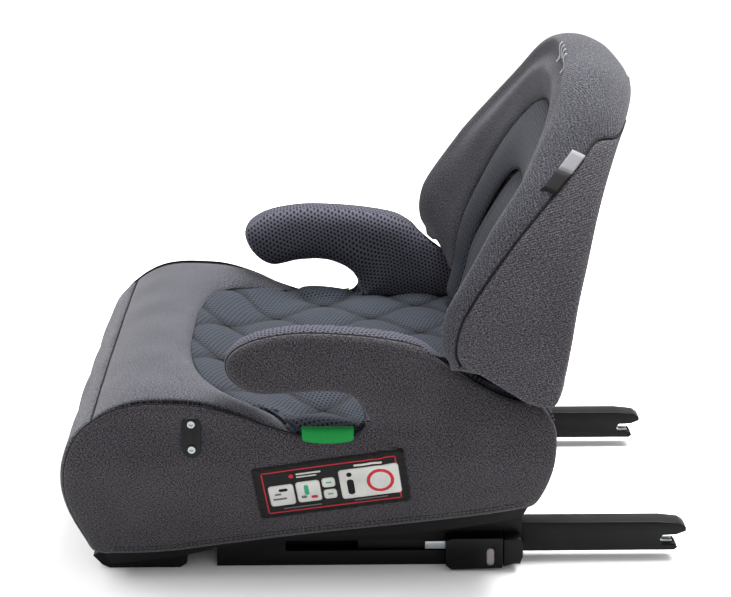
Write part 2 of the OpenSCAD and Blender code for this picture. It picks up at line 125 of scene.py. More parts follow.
def through(points: Sequence[Sequence[float]], step: float, closed: bool = False) -> Array:
    """Smooth curve through points, resampled at even steps.

    Args:
        points: Points that the curve passes through.
        step: Distance between samples.
        closed: Whether the curve comes back to its first point.

    Returns:
        The samples, one row each, without a repeated last point when closed.
    """
    knots = np.asarray(points, float)
    if closed:
        knots = np.vstack([knots[-1:], knots, knots[:2]])
    else:
        knots = np.vstack([2 * knots[0] - knots[1], knots, 2 * knots[-1] - knots[-2]])
    share = np.linspace(0, 1, 24, endpoint=False)[:, None]
    run = []
    for a, b, c, d in zip(knots, knots[1:], knots[2:], knots[3:]):
        run.append(0.5 * (2 * b + (c - a) * share + (2 * a - 5 * b + 4 * c - d) * share**2
                          + (3 * b - a - 3 * c + d) * share**3))
    dense = np.vstack(run + [knots[-2][None]])
    return resample(dense, step=step, closed=closed)


def resample(run: Array, step: float = 0.0, count: int = 0, closed: bool = False) -> Array:
    """Even samples along a polyline.

    Args:
        run: The polyline's points. A closed one ends on its first point.
        step: Distance between samples, where count is 0.
        count: Number of samples.
        closed: Whether to leave out the repeated last point.

    Returns:
        The samples.
    """
    lengths = np.concatenate([[0], np.cumsum(np.linalg.norm(np.diff(run, axis=0), axis=1))])
    total = count or max(2, int(round(lengths[-1] / step)) + 1)
    places = np.linspace(0, lengths[-1], total)
    found = np.stack([np.interp(places, lengths, run[:, k]) for k in range(run.shape[1])], 1)
    return found[:-1] if closed else found


def level(places: Array, points: Sequence[Sequence[float]]) -> Array:
    """Reads a smooth curve of height against place.

    Args:
        places: Where to read it.
        points: (place, height) pairs in rising order of place.

    Returns:
        The heights.
    """
    curve = through(points, 1.0)
    order = np.argsort(curve[:, 0])
    return np.interp(places, curve[order, 0], curve[order, 1])


def edge_distance(points: Array, outline: Array) -> Array:
    """Distance of flat points from a closed outline.

    Args:
        points: Flat points, one row each.
        outline: The outline's points in order.

    Returns:
        The distance of each point.
    """
    start, span = outline, np.roll(outline, -1, 0) - outline
    length = np.maximum((span * span).sum(1), 1e-9)
    nearest = np.full(len(points), 1e9)
    for a, s, l in zip(start, span, length):
        share = np.clip(((points - a) @ s) / l, 0, 1)
        gap = points - a - share[:, None] * s
        nearest = np.minimum(nearest, (gap * gap).sum(1))
    return np.sqrt(nearest)


def inside(points: Array, outline: Array) -> Array:
    """Whether flat points lie inside a closed outline, by counting crossings."""
    found = np.zeros(len(points), bool)
    ahead = np.roll(outline, -1, 0)
    for (ax, ay), (bx, by) in zip(outline, ahead):
        if ay != by:
            crosses = (ay > points[:, 1]) != (by > points[:, 1])
            found ^= crosses & (points[:, 0] < (bx - ax) * (points[:, 1] - ay) / (by - ay) + ax)
    return found


def cut_panel(outline: Array, step: float, rings: Sequence[float]) -> tuple[Array, list, Array]:
    """Cuts a flat panel into small triangles that follow its edge.

    Args:
        outline: Closed outline, evenly sampled.
        step: Spacing of the points inside.
        rings: Distances from the edge that get a row of points of their own.

    Returns:
        Flat points that begin with the outline's, triangles, and each point's distance from the edge.
    """
    low, high = outline.min(0), outline.max(0)
    across = np.arange(low[0], high[0], step)
    up = np.arange(low[1], high[1], step * 0.87)
    mesh = np.array([(a + (k % 2) * step / 2, b) for k, b in enumerate(up) for a in across])
    mesh = mesh[inside(mesh, outline)]
    mesh = mesh[edge_distance(mesh, outline) > rings[-1] + step * 0.55]
    tangent = np.roll(outline, -1, 0) - np.roll(outline, 1, 0)
    normal = np.stack([-tangent[:, 1], tangent[:, 0]], 1)
    normal /= np.linalg.norm(normal, axis=1)[:, None]
    if not inside(outline[:1] + normal[:1] * 0.5, outline)[0]:
        normal = -normal
    rows = []
    for reach in rings:
        row = outline + normal * reach
        row = row[inside(row, outline)]
        rows.append(row[edge_distance(row, outline) > reach * 0.93])
    points = np.vstack([outline] + rows + [mesh])
    count = len(outline)
    ring = [(k, (k + 1) % count) for k in range(count)]
    spots = [Vector(p) for p in points]
    found, _, faces, origin, _, _ = delaunay_2d_cdt(spots, ring, [], 1, 1e-4)
    place = np.array([tuple(v) for v in found])
    order = np.argsort([min(o) if o else 10**9 for o in origin], kind="stable")
    rank = np.empty(len(order), int)
    rank[order] = np.arange(len(order))
    place = place[order]
    triangles = [tuple(int(rank[i]) for i in f) for f in faces]
    return place, triangles, edge_distance(place, outline)


@dataclass
class Cloth:
    """A surface in millimetres, with its faces and its flat coordinates."""

    points: Array
    faces: list
    flat: Array

    @classmethod
    def grid(cls, points: Array, flat: Array | None = None) -> "Cloth":
        """Surface through a grid of points.

        Args:
            points: Rows by columns by 3.
            flat: Rows by columns by 2, or None to lay it out by its own lengths.

        Returns:
            The surface, with one quad per cell.
        """
        rows, columns = points.shape[:2]
        if flat is None:
            along = np.linalg.norm(np.diff(points, axis=1), axis=2).mean(0)
            up = np.linalg.norm(np.diff(points, axis=0), axis=2).mean(1)
            flat = np.stack(np.meshgrid(np.concatenate([[0], np.cumsum(along)]),
                                        np.concatenate([[0], np.cumsum(up)])), 2)
        index = np.arange(rows * columns).reshape(rows, columns)
        quads = np.stack([index[:-1, :-1], index[:-1, 1:], index[1:, 1:], index[1:, :-1]], 2)
        faces = [tuple(q) for q in quads.reshape(-1, 4).tolist()]
        return cls(points.reshape(-1, 3).copy(), faces, flat.reshape(-1, 2).copy())

    def normals(self) -> Array:
        """Unit normal at every point, from the faces around it."""
        total = np.zeros_like(self.points)
        corners = np.array([(f[0], f[1], f[2], f[-1]) for f in self.faces])
        a, b, c, d = (self.points[corners[:, k]] for k in range(4))
        face = np.cross(c - a, d - b)
        thin = np.array([len(f) == 3 for f in self.faces])
        face[thin] = np.cross(b - a, c - a)[thin]
        for k in range(4):
            np.add.at(total, corners[:, k], face)
        return total / np.maximum(np.linalg.norm(total, axis=1), 1e-9)[:, None]

    def facing(self, direction: Sequence[float]) -> "Cloth":
        """The surface turned so that it faces a direction on the whole."""
        if (self.normals() @ np.asarray(direction, float)).sum() < 0:
            self.faces = [tuple(reversed(f)) for f in self.faces]
        return self

    def away_from(self, spot: Sequence[float]) -> "Cloth":
        """The surface turned so that it faces away from a point on the whole."""
        if ((self.points - np.asarray(spot, float)) * self.normals()).sum() < 0:
            self.faces = [tuple(reversed(f)) for f in self.faces]
        return self

    def raised(self, height: Array | float) -> "Cloth":
        """The surface moved along its own normals by a height at every point."""
        self.points = self.points + self.normals() * np.asarray(height).reshape(-1, 1)
        return self

    def shell(self, thickness: float) -> "Cloth":
        """Closed shell that has this surface as its outer face.

        Args:
            thickness: How far the inner face lies behind the outer one.

        Returns:
            The shell, with a rim along every open edge.
        """
        count = len(self.points)
        directed = [(f[k], f[(k + 1) % len(f)]) for f in self.faces for k in range(len(f))]
        known = set(directed)
        rim = [(a, b) for a, b in directed if (b, a) not in known]
        back = self.points - self.normals() * thickness
        faces = list(self.faces)
        faces += [tuple(i + count for i in reversed(f)) for f in self.faces]
        faces += [(b, a, a + count, b + count) for a, b in rim]
        return Cloth(np.vstack([self.points, back]), faces, np.vstack([self.flat, self.flat]))

    def on(self, side: Side) -> "Cloth":
        """The surface as it lies on a side, mirrored for the right one."""
        if side is Side.LEFT:
            return self
        mirrored = self.points * np.array([-1.0, 1, 1])
        return Cloth(mirrored, [tuple(reversed(f)) for f in self.faces], self.flat.copy())

    def piece(self, name: str, finish: "Finish", body: str, slot: str = "",
              stands_for: Iterable[str] = (), fill: float | None = None) -> bpy.types.Object:
        """Makes the surface a piece that moves with a body.

        Args:
            name: Name of the piece.
            finish: What it is made of.
            body: Body that it rides on.
            slot: The record's material slot, if it has one. Not used.
            stands_for: CAD nodes that it is shown in place of.
            fill: How full it is, where it is a padded piece. Not used.

        Returns:
            The object.
        """
        mesh = bpy.data.meshes.new(name)
        mesh.from_pydata((self.points * MM).tolist(), [], self.faces)
        layer = mesh.uv_layers.new(name=CLOTH_UV)
        corners = np.empty(len(mesh.loops), int)
        mesh.loops.foreach_get("vertex_index", corners)
        layer.data.foreach_set("uv", self.flat[corners].ravel())
        mesh.polygons.foreach_set("use_smooth", [True] * len(mesh.polygons))
        obj = bpy.data.objects.new(name, mesh)
        bpy.context.scene.collection.objects.link(obj)
        return settle(obj, finish, body, stands_for)


def settle(obj: bpy.types.Object, finish: "Finish", body: str,
           stands_for: Iterable[str] = ()) -> bpy.types.Object:
    """Gives a finished mesh its finish and its place in the frame.

    Args:
        obj: The object, at the origin.
        finish: What it is made of.
        body: Body that it rides on.
        stands_for: CAD nodes that it is shown in place of.

    Returns:
        The same object.
    """
    obj.data.materials.clear()
    obj.data.materials.append(finish.material())
    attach(obj, body)
    names = list(stands_for)
    if names:
        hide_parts(*names)
    LOG.info("%s rides on %s in %s", obj.name, body, finish.name)
    return obj


def grid_reach(points: Array, rims: str) -> Array:
    """Distance of a grid's points from its chosen rims, along the grid.

    Args:
        points: Rows by columns by 3.
        rims: Any of a, z, l and r for the first row, last row, first column and last column.

    Returns:
        Rows by columns of distances.
    """
    up = np.linalg.norm(np.diff(points, axis=0), axis=2)
    along = np.linalg.norm(np.diff(points, axis=1), axis=2)
    rows = np.concatenate([np.zeros((1, points.shape[1])), np.cumsum(up, 0)])
    columns = np.concatenate([np.zeros((points.shape[0], 1)), np.cumsum(along, 1)], 1)
    reach = {"a": rows, "z": rows[-1:] - rows, "l": columns, "r": columns[:, -1:] - columns}
    return np.min([reach[r] for r in rims], axis=0)


# ---------------------------------------------------------------------- Node building


def to_linear(code: str) -> tuple[float, float, float, float]:
    """Turns an sRGB hex colour to the linear colour that shaders use."""
    parts = [int(code[k:k + 2], 16) / 255 for k in (1, 3, 5)]
    line = [p / 12.92 if p <= 0.04045 else ((p + 0.055) / 1.055) ** 2.4 for p in parts]
    return (line[0], line[1], line[2], 1.0)


def add_node(tree: bpy.types.NodeTree, kind: str, feeds: dict | None = None,
             **settings: object) -> bpy.types.Node:
    """Adds a node with its settings, values and links.

    Args:
        tree: Tree that gets the node.
        kind: The node's type.
        feeds: Value or output socket for each input, by name or number.
        **settings: Properties of the node.

    Returns:
        The node.
    """
    node = tree.nodes.new(kind)
    for key, value in settings.items():
        setattr(node, key, value)
    for key, value in (feeds or {}).items():
        if isinstance(value, bpy.types.NodeSocket):
            tree.links.new(value, node.inputs[key])
        else:
            node.inputs[key].default_value = value
    return node


def ramp(tree: bpy.types.NodeTree, factor: bpy.types.NodeSocket,
         stops: Sequence[tuple[float, str]]) -> bpy.types.NodeSocket:
    """Colour that runs through stops.

    Args:
        tree: Tree that gets the node.
        factor: Where along the stops.
        stops: (position, hex colour) pairs in order.

    Returns:
        The colour's socket.
    """
    node = add_node(tree, "ShaderNodeValToRGB", {0: factor})
    band = node.color_ramp
    while len(band.elements) < len(stops):
        band.elements.new(0.5)
    for element, (position, code) in zip(band.elements, stops):
        element.position = position
        element.color = to_linear(code)
    return node.outputs[0]


def plain(shader: bpy.types.Node, values: dict) -> None:
    """Sets a shader's own sockets to values that are the same all over the surface."""
    for socket, value in values.items():
        shader.inputs[socket].default_value = value


@dataclass(frozen=True)
class Finish:
    """A finish that makes its material once."""

    name: str

    def material(self) -> bpy.types.Material:
        """The material, made on its first use."""
        found = bpy.data.materials.get(self.name)
        if found is None:
            found = bpy.data.materials.new(self.name)
            found.use_nodes = True
            tree = found.node_tree
            shader = tree.nodes["Principled BSDF"]
            self.dress(tree, shader)
        return found

    def dress(self, tree: bpy.types.NodeTree, shader: bpy.types.Node) -> None:
        """Feeds the shader. Each finish has its own way."""
        raise NotImplementedError

    def bump(self, tree: bpy.types.NodeTree, shader: bpy.types.Node,
             height: bpy.types.NodeSocket, depth_mm: float, strength: float) -> None:
        """Feeds the shader's normal from a height."""
        node = add_node(tree, "ShaderNodeBump", {"Height": height, "Distance": depth_mm * MM,
                                                 "Strength": strength})
        tree.links.new(node.outputs[0], shader.inputs["Normal"])


@dataclass(frozen=True)
class MelangeCloth(Finish):
    """Woven polyester in two-tone yarn, whose short light and dark flecks run both ways."""

    dark: str
    middle: str
    light: str
    yarn_mm: float = 0.62
    rib_mm: float = 0.0
    rib_turn: float = 0.0

    def dress(self, tree: bpy.types.NodeTree, shader: bpy.types.Node) -> None:
        """Flecks for the colour, with the weave and any rib for the relief, and painted shade in the
        rib's valleys.
        """
        flat = add_node(tree, "ShaderNodeUVMap", uv_map=CLOTH_UV).outputs[0]
        flecks = []
        for across, along in ((1.0, 3.2), (3.2, 1.0)):
            scale = (1 / (self.yarn_mm * across), 1 / (self.yarn_mm * along), 1.0)
            placed = add_node(tree, "ShaderNodeMapping", {"Vector": flat, "Scale": scale})
            noise = add_node(tree, "ShaderNodeTexNoise", {"Vector": placed.outputs[0], "Scale": 1.0,
                             "Detail": 2.0, "Roughness": 0.65}, noise_dimensions="2D")
            flecks.append(noise.outputs[0])
        mixed = add_node(tree, "ShaderNodeMath", {0: flecks[0], 1: flecks[1]}, operation="ADD")
        mean = add_node(tree, "ShaderNodeMath", {0: mixed.outputs[0], 1: 0.5}, operation="MULTIPLY")
        colour = ramp(tree, mean.outputs[0], ((0.41, self.dark), (0.5, self.middle),
                                              (0.59, self.light)))
        patch = add_node(tree, "ShaderNodeTexNoise", {"Vector": flat, "Scale": 1 / 38.0,
                         "Detail": 2.0}, noise_dimensions="2D")
        shade = add_node(tree, "ShaderNodeMapRange", {0: patch.outputs[0], 1: 0.3, 2: 0.7,
                                                      3: 0.93, 4: 1.07})
        tinted = add_node(tree, "ShaderNodeVectorMath", {0: colour, 1: shade.outputs[0]},
                          operation="MULTIPLY")
        height = mean.outputs[0]
        top = tinted.outputs[0]
        if self.rib_mm:
            turned = add_node(tree, "ShaderNodeMapping", {"Vector": flat,
                              "Rotation": (0.0, 0.0, self.rib_turn)})
            rib = add_node(tree, "ShaderNodeTexWave", {"Vector": turned.outputs[0],
                           "Scale": 0.31416 / self.rib_mm, "Distortion": 0.15},
                           wave_type="BANDS", bands_direction="Y")
            height = add_node(tree, "ShaderNodeMath", {0: rib.outputs["Fac"], 1: height},
                              operation="ADD").outputs[0]
            # Painted shade in the rib's valleys: the colour darkens to 0.90 there, with a faint painted
            # highlight of 1.05 on the crests.
            valley = add_node(tree, "ShaderNodeMapRange", {0: rib.outputs["Fac"], 3: 0.90, 4: 1.05})
            top = add_node(tree, "ShaderNodeVectorMath", {0: top, 1: valley.outputs[0]},
                           operation="MULTIPLY").outputs[0]
        tree.links.new(top, shader.inputs["Base Color"])
        plain(shader, {"Roughness": 0.92, "Specular IOR Level": 0.12, "Sheen Weight": 0.08,
                       "Sheen Roughness": 0.5})
        self.bump(tree, shader, height, 0.5, 0.55)


@dataclass(frozen=True)
class AirMesh(Finish):
    """Knitted spacer mesh, with rows of round holes set like honeycomb."""

    thread: str
    shade: str
    # Near-black colour painted into each hole as the shade down it.
    hole: str
    pitch_mm: float = 3.6
    hole_mm: float = 1.7
    rib_mm: float = 0.0
    turn: float = 0.0

    def lattice(self, tree: bpy.types.NodeTree, flat: bpy.types.NodeSocket,
                shift: float) -> bpy.types.NodeSocket:
        """Distance in millimetres from the nearest hole of one of the two square lattices."""
        cell = (self.pitch_mm, self.pitch_mm * math.sqrt(3), 1.0)
        share = add_node(tree, "ShaderNodeVectorMath", {0: flat, 1: cell}, operation="DIVIDE")
        moved = add_node(tree, "ShaderNodeVectorMath", {0: share.outputs[0],
                         1: (shift, shift, 0.0)}, operation="ADD")
        part = add_node(tree, "ShaderNodeVectorMath", {0: moved.outputs[0]}, operation="FRACTION")
        centred = add_node(tree, "ShaderNodeVectorMath", {0: part.outputs[0],
                           1: (0.5, 0.5, 0.0)}, operation="SUBTRACT")
        real = add_node(tree, "ShaderNodeVectorMath", {0: centred.outputs[0], 1: cell},
                        operation="MULTIPLY")
        flatten = add_node(tree, "ShaderNodeVectorMath", {0: real.outputs[0],
                           1: (1.0, 1.0, 0.0)}, operation="MULTIPLY")
        return add_node(tree, "ShaderNodeVectorMath", {0: flatten.outputs[0]},
                        operation="LENGTH").outputs["Value"]

    def dress(self, tree: bpy.types.NodeTree, shader: bpy.types.Node) -> None:
        """Holes between loops of yarn, which stand proud of them, with painted shade down each hole."""
        placed = add_node(tree, "ShaderNodeUVMap", uv_map=CLOTH_UV).outputs[0]
        flat = add_node(tree, "ShaderNodeMapping", {"Vector": placed,
                        "Rotation": (0.0, 0.0, self.turn)}).outputs[0]
        near = add_node(tree, "ShaderNodeMath", {0: self.lattice(tree, flat, 0.0),
                        1: self.lattice(tree, flat, 0.5)}, operation="MINIMUM").outputs[0]
        wall = add_node(tree, "ShaderNodeMapRange", {0: near, 1: self.hole_mm * 0.36,
                        2: self.hole_mm * 0.62}, interpolation_type="SMOOTHSTEP").outputs[0]
        yarn = add_node(tree, "ShaderNodeTexNoise", {"Vector": flat, "Scale": 1.6,
                        "Detail": 2.0}, noise_dimensions="2D").outputs[0]
        threads = ramp(tree, yarn, ((0.32, self.shade), (0.68, self.thread)))
        if self.rib_mm:
            # Painted shade and highlight across a rib: the threads darken to 0.55 in its troughs and
            # lighten to 1.12 on its crests.
            rib = add_node(tree, "ShaderNodeTexWave", {"Vector": flat, "Scale": 0.31416 / self.rib_mm,
                           "Distortion": 0.3}, wave_type="BANDS", bands_direction="X").outputs["Fac"]
            dim = add_node(tree, "ShaderNodeMapRange", {0: rib, 3: 0.55, 4: 1.12}).outputs[0]
            threads = add_node(tree, "ShaderNodeVectorMath", {0: threads, 1: dim},
                               operation="MULTIPLY").outputs[0]
        # Painted shade in the quilt's stitch valleys: the threads darken to 0.42 of their colour where
        # the Sewn attribute is 1.
        low = add_node(tree, "ShaderNodeAttribute", attribute_name=VALLEY_SHADE).outputs["Fac"]
        painted_valley_shade = add_node(tree, "ShaderNodeMapRange", {0: low, 3: 1.0, 4: 0.42}).outputs[0]
        threads = add_node(tree, "ShaderNodeVectorMath", {0: threads, 1: painted_valley_shade},
                           operation="MULTIPLY").outputs[0]
        # Painted shade: each hole takes the near-black hole colour.
        mixed = add_node(tree, "ShaderNodeMix", {0: wall, 6: to_linear(self.hole), 7: threads},
                         data_type="RGBA").outputs[2]
        tree.links.new(mixed, shader.inputs["Base Color"])
        plain(shader, {"Roughness": 0.85, "Specular IOR Level": 0.15, "Sheen Weight": 0.04})
        self.bump(tree, shader, wall, 0.9, 0.8)


@dataclass(frozen=True)
class MouldedPlastic(Finish):
    """Injection-moulded plastic with a fine spark-eroded grain that breaks up its gloss."""

    colour: str
    roughness: float = 0.5
    grain_mm: float = 0.7
    relief: float = 0.18

    def dress(self, tree: bpy.types.NodeTree, shader: bpy.types.Node) -> None:
        """One colour, a grain in the relief and slow changes of gloss."""
        place = add_node(tree, "ShaderNodeTexCoord").outputs["Object"]
        grain = add_node(tree, "ShaderNodeTexNoise", {"Vector": place, "Scale": 1000 / self.grain_mm,
                         "Detail": 2.0}).outputs[0]
        slow = add_node(tree, "ShaderNodeTexNoise", {"Vector": place, "Scale": 1000 / 22.0,
                        "Detail": 3.0}).outputs[0]
        gloss = add_node(tree, "ShaderNodeMapRange", {0: slow, 1: 0.3, 2: 0.7,
                         3: self.roughness - 0.06, 4: self.roughness + 0.08}).outputs[0]
        tint = add_node(tree, "ShaderNodeMapRange", {0: slow, 1: 0.3, 2: 0.7, 3: 0.88, 4: 1.12})
        base = add_node(tree, "ShaderNodeVectorMath", {0: to_linear(self.colour)[:3],
                        1: tint.outputs[0]}, operation="MULTIPLY").outputs[0]
        tree.links.new(base, shader.inputs["Base Color"])
        tree.links.new(gloss, shader.inputs["Roughness"])
        plain(shader, {"IOR": 1.52, "Specular IOR Level": 0.11})
        self.bump(tree, shader, grain, 0.12, self.relief)


@dataclass(frozen=True)
class PlatedSteel(Finish):
    """Zinc-plated steel, whose rolled grain shows as fine lines along the part."""

    colour: str
    roughness: float = 0.34

    def dress(self, tree: bpy.types.NodeTree, shader: bpy.types.Node) -> None:
        """Bright metal with a streaked gloss and a faint bloom of zinc."""
        place = add_node(tree, "ShaderNodeTexCoord").outputs["Object"]
        drawn = add_node(tree, "ShaderNodeMapping", {"Vector": place,
                         "Scale": (1000 / 0.5, 1000 / 14.0, 1000 / 0.5)}).outputs[0]
        lines = add_node(tree, "ShaderNodeTexNoise", {"Vector": drawn, "Scale": 1.0,
                         "Detail": 2.0}).outputs[0]
        bloom = add_node(tree, "ShaderNodeTexVoronoi", {"Vector": place,
                         "Scale": 1000 / 3.5}).outputs["Color"]
        tone = add_node(tree, "ShaderNodeMix", {0: 0.1, 6: to_linear(self.colour), 7: bloom},
                        data_type="RGBA", blend_type="MULTIPLY").outputs[2]
        gloss = add_node(tree, "ShaderNodeMapRange", {0: lines, 1: 0.25, 2: 0.75,
                         3: self.roughness - 0.08, 4: self.roughness + 0.12}).outputs[0]
        tree.links.new(tone, shader.inputs["Base Color"])
        tree.links.new(gloss, shader.inputs["Roughness"])
        shader.inputs["Metallic"].default_value = 1.0
        self.bump(tree, shader, lines, 0.05, 0.25)


@dataclass(frozen=True)
class Webbing(Finish):
    """Flat woven tape or label cloth, whose plain weave shows as small blocks."""

    colour: str
    shade: str
    thread_mm: float = 0.9

    def dress(self, tree: bpy.types.NodeTree, shader: bpy.types.Node) -> None:
        """Rows of threads over and under, with painted shade in the gaps between them."""
        flat = add_node(tree, "ShaderNodeUVMap", uv_map=CLOTH_UV).outputs[0]
        scale = 0.31416 / self.thread_mm
        rows = [add_node(tree, "ShaderNodeTexWave", {"Vector": flat, "Scale": scale,
                         "Distortion": 0.2}, wave_type="BANDS", bands_direction=way).outputs["Fac"]
                for way in ("X", "Y")]
        weave = add_node(tree, "ShaderNodeMath", {0: rows[0], 1: rows[1]},
                         operation="MULTIPLY").outputs[0]
        # The shade colour fills the gaps between threads as painted shade.
        colour = ramp(tree, weave, ((0.0, self.shade), (0.55, self.colour)))
        tree.links.new(colour, shader.inputs["Base Color"])
        plain(shader, {"Roughness": 0.75, "Specular IOR Level": 0.2})
        self.bump(tree, shader, weave, 0.25, 0.5)


@dataclass(frozen=True)
class FoamBlock(Finish):
    """Open-cell polyurethane foam, off-white and finely pitted."""

    colour: str

    def dress(self, tree: bpy.types.NodeTree, shader: bpy.types.Node) -> None:
        """Small cells for the relief, with painted shade deepest in each cell's pit."""
        place = add_node(tree, "ShaderNodeTexCoord").outputs["Object"]
        cells = add_node(tree, "ShaderNodeTexVoronoi", {"Vector": place,
                         "Scale": 1000 / 1.4}).outputs["Distance"]
        # Painted shade: the colour darkens towards #b9b19c in the bottom of each pit.
        colour = ramp(tree, cells, ((0.1, "#b9b19c"), (0.6, self.colour)))
        tree.links.new(colour, shader.inputs["Base Color"])
        shader.inputs["Roughness"].default_value = 0.95
        self.bump(tree, shader, cells, 0.4, 0.6)


@dataclass(frozen=True)
class ClearPlastic(Finish):
    """Clear polycarbonate window, moulded smooth with a trace of haze."""

    colour: str

    def dress(self, tree: bpy.types.NodeTree, shader: bpy.types.Node) -> None:
        """A little haze in the relief keeps its reflections soft."""
        place = add_node(tree, "ShaderNodeTexCoord").outputs["Object"]
        haze = add_node(tree, "ShaderNodeTexNoise", {"Vector": place,
                        "Scale": 1000 / 2.5}).outputs[0]
        plain(shader, {"Base Color": to_linear(self.colour), "Roughness": 0.12,
                       "Transmission Weight": 0.92, "IOR": 1.585})
        self.bump(tree, shader, haze, 0.05, 0.1)


LIGHT_MELANGE = MelangeCloth("woven_melange_light", "#121215", "#323237", "#606068", 0.5)
DARK_MELANGE = MelangeCloth("woven_melange_dark", "#0b0b0c", "#1f1d20", "#4a474c", 0.5)
BACK_MELANGE = MelangeCloth("woven_melange_ribbed_light", "#121214", "#2b2b30", "#4f4f56",
                            rib_mm=2.0, rib_turn=0.7)
WING_MELANGE = MelangeCloth("woven_melange_ribbed_dark", "#171619", "#302e32", "#535056",
                            rib_mm=2.0, rib_turn=0.5)
QUILT_MESH = AirMesh("knitted_spacer_mesh_seat", "#363b45", "#24282f", "#030405", 4.2, 2.3,
                     0.0, 0.3)
ARMREST_MESH = AirMesh("knitted_spacer_mesh_armrest", "#494954", "#34343e", "#040405", 4.1, 2.3,
                       0.0, 0.38)
INSERT_MESH = AirMesh("knitted_spacer_mesh_backrest", "#32353f", "#25272f", "#060708", 3.8, 1.8,
                      rib_mm=3.6)
SHELL_PLASTIC = MouldedPlastic("moulded_polypropylene_black", "#040405", 0.52, 0.8)
INNER_PLASTIC = MouldedPlastic("moulded_polypropylene_inner", "#161617", 0.6, 0.9)
RAIL_PLASTIC = MouldedPlastic("moulded_nylon_rail", "#050506", 0.46, 0.6)
ARM_PLASTIC = MouldedPlastic("moulded_nylon_arm", "#040405", 0.42, 0.6, 0.12)
HOUSING_PLASTIC = MouldedPlastic("moulded_abs_housing", "#030303", 0.36, 0.9, 0.1)
SOCKET_PLASTIC = MouldedPlastic("moulded_abs_socket", "#080809", 0.3, 0.9, 0.08)
RED_PLASTIC = MouldedPlastic("moulded_abs_red_flag", "#7c2833", 0.4, 0.9, 0.1)
SIGNAL_PRINT = MouldedPlastic("screen_print_red", "#8e1f28", 0.6, 0.6, 0.1)
PALE_PRINT = MouldedPlastic("screen_print_pale", "#9a9a97", 0.7, 0.6, 0.1)
GREY_PRINT = MouldedPlastic("screen_print_grey", "#4c4e50", 0.7, 0.6, 0.1)
TEAL_PRINT = MouldedPlastic("screen_print_teal", "#26745a", 0.7, 0.6, 0.1)
BLACK_PRINT = MouldedPlastic("screen_print_black", "#0a0a0b", 0.7, 0.6, 0.1)
ZINC_STEEL = PlatedSteel("zinc_plated_steel", "#a3a7a9")
BRIGHT_STEEL = PlatedSteel("nickel_plated_screw_steel", "#8f9294", 0.3)
GREEN_TAPE = Webbing("woven_tape_green", "#00752f", "#005c25", 1.0)
LABEL_CLOTH = Webbing("woven_label_black", "#0c0c0d", "#060607", 0.7)
TAG_CLOTH = Webbing("woven_tag_grey", "#7d7d80", "#69696c", 0.7)
TAG_BLACK = Webbing("woven_tag_black", "#0b0b0c", "#060606", 0.7)
DARK_THREAD = Webbing("spun_thread_black", "#0c0c0e", "#060607", 0.5)
PALE_THREAD = Webbing("spun_thread_pale", "#b4b5b8", "#97989c", 0.5)
FOAM = FoamBlock("open_cell_foam", "#c9c2b0")
WINDOW = ClearPlastic("clear_polycarbonate", "#e6e9ea")


# ------------------------------------------------------------------------- Sewing work


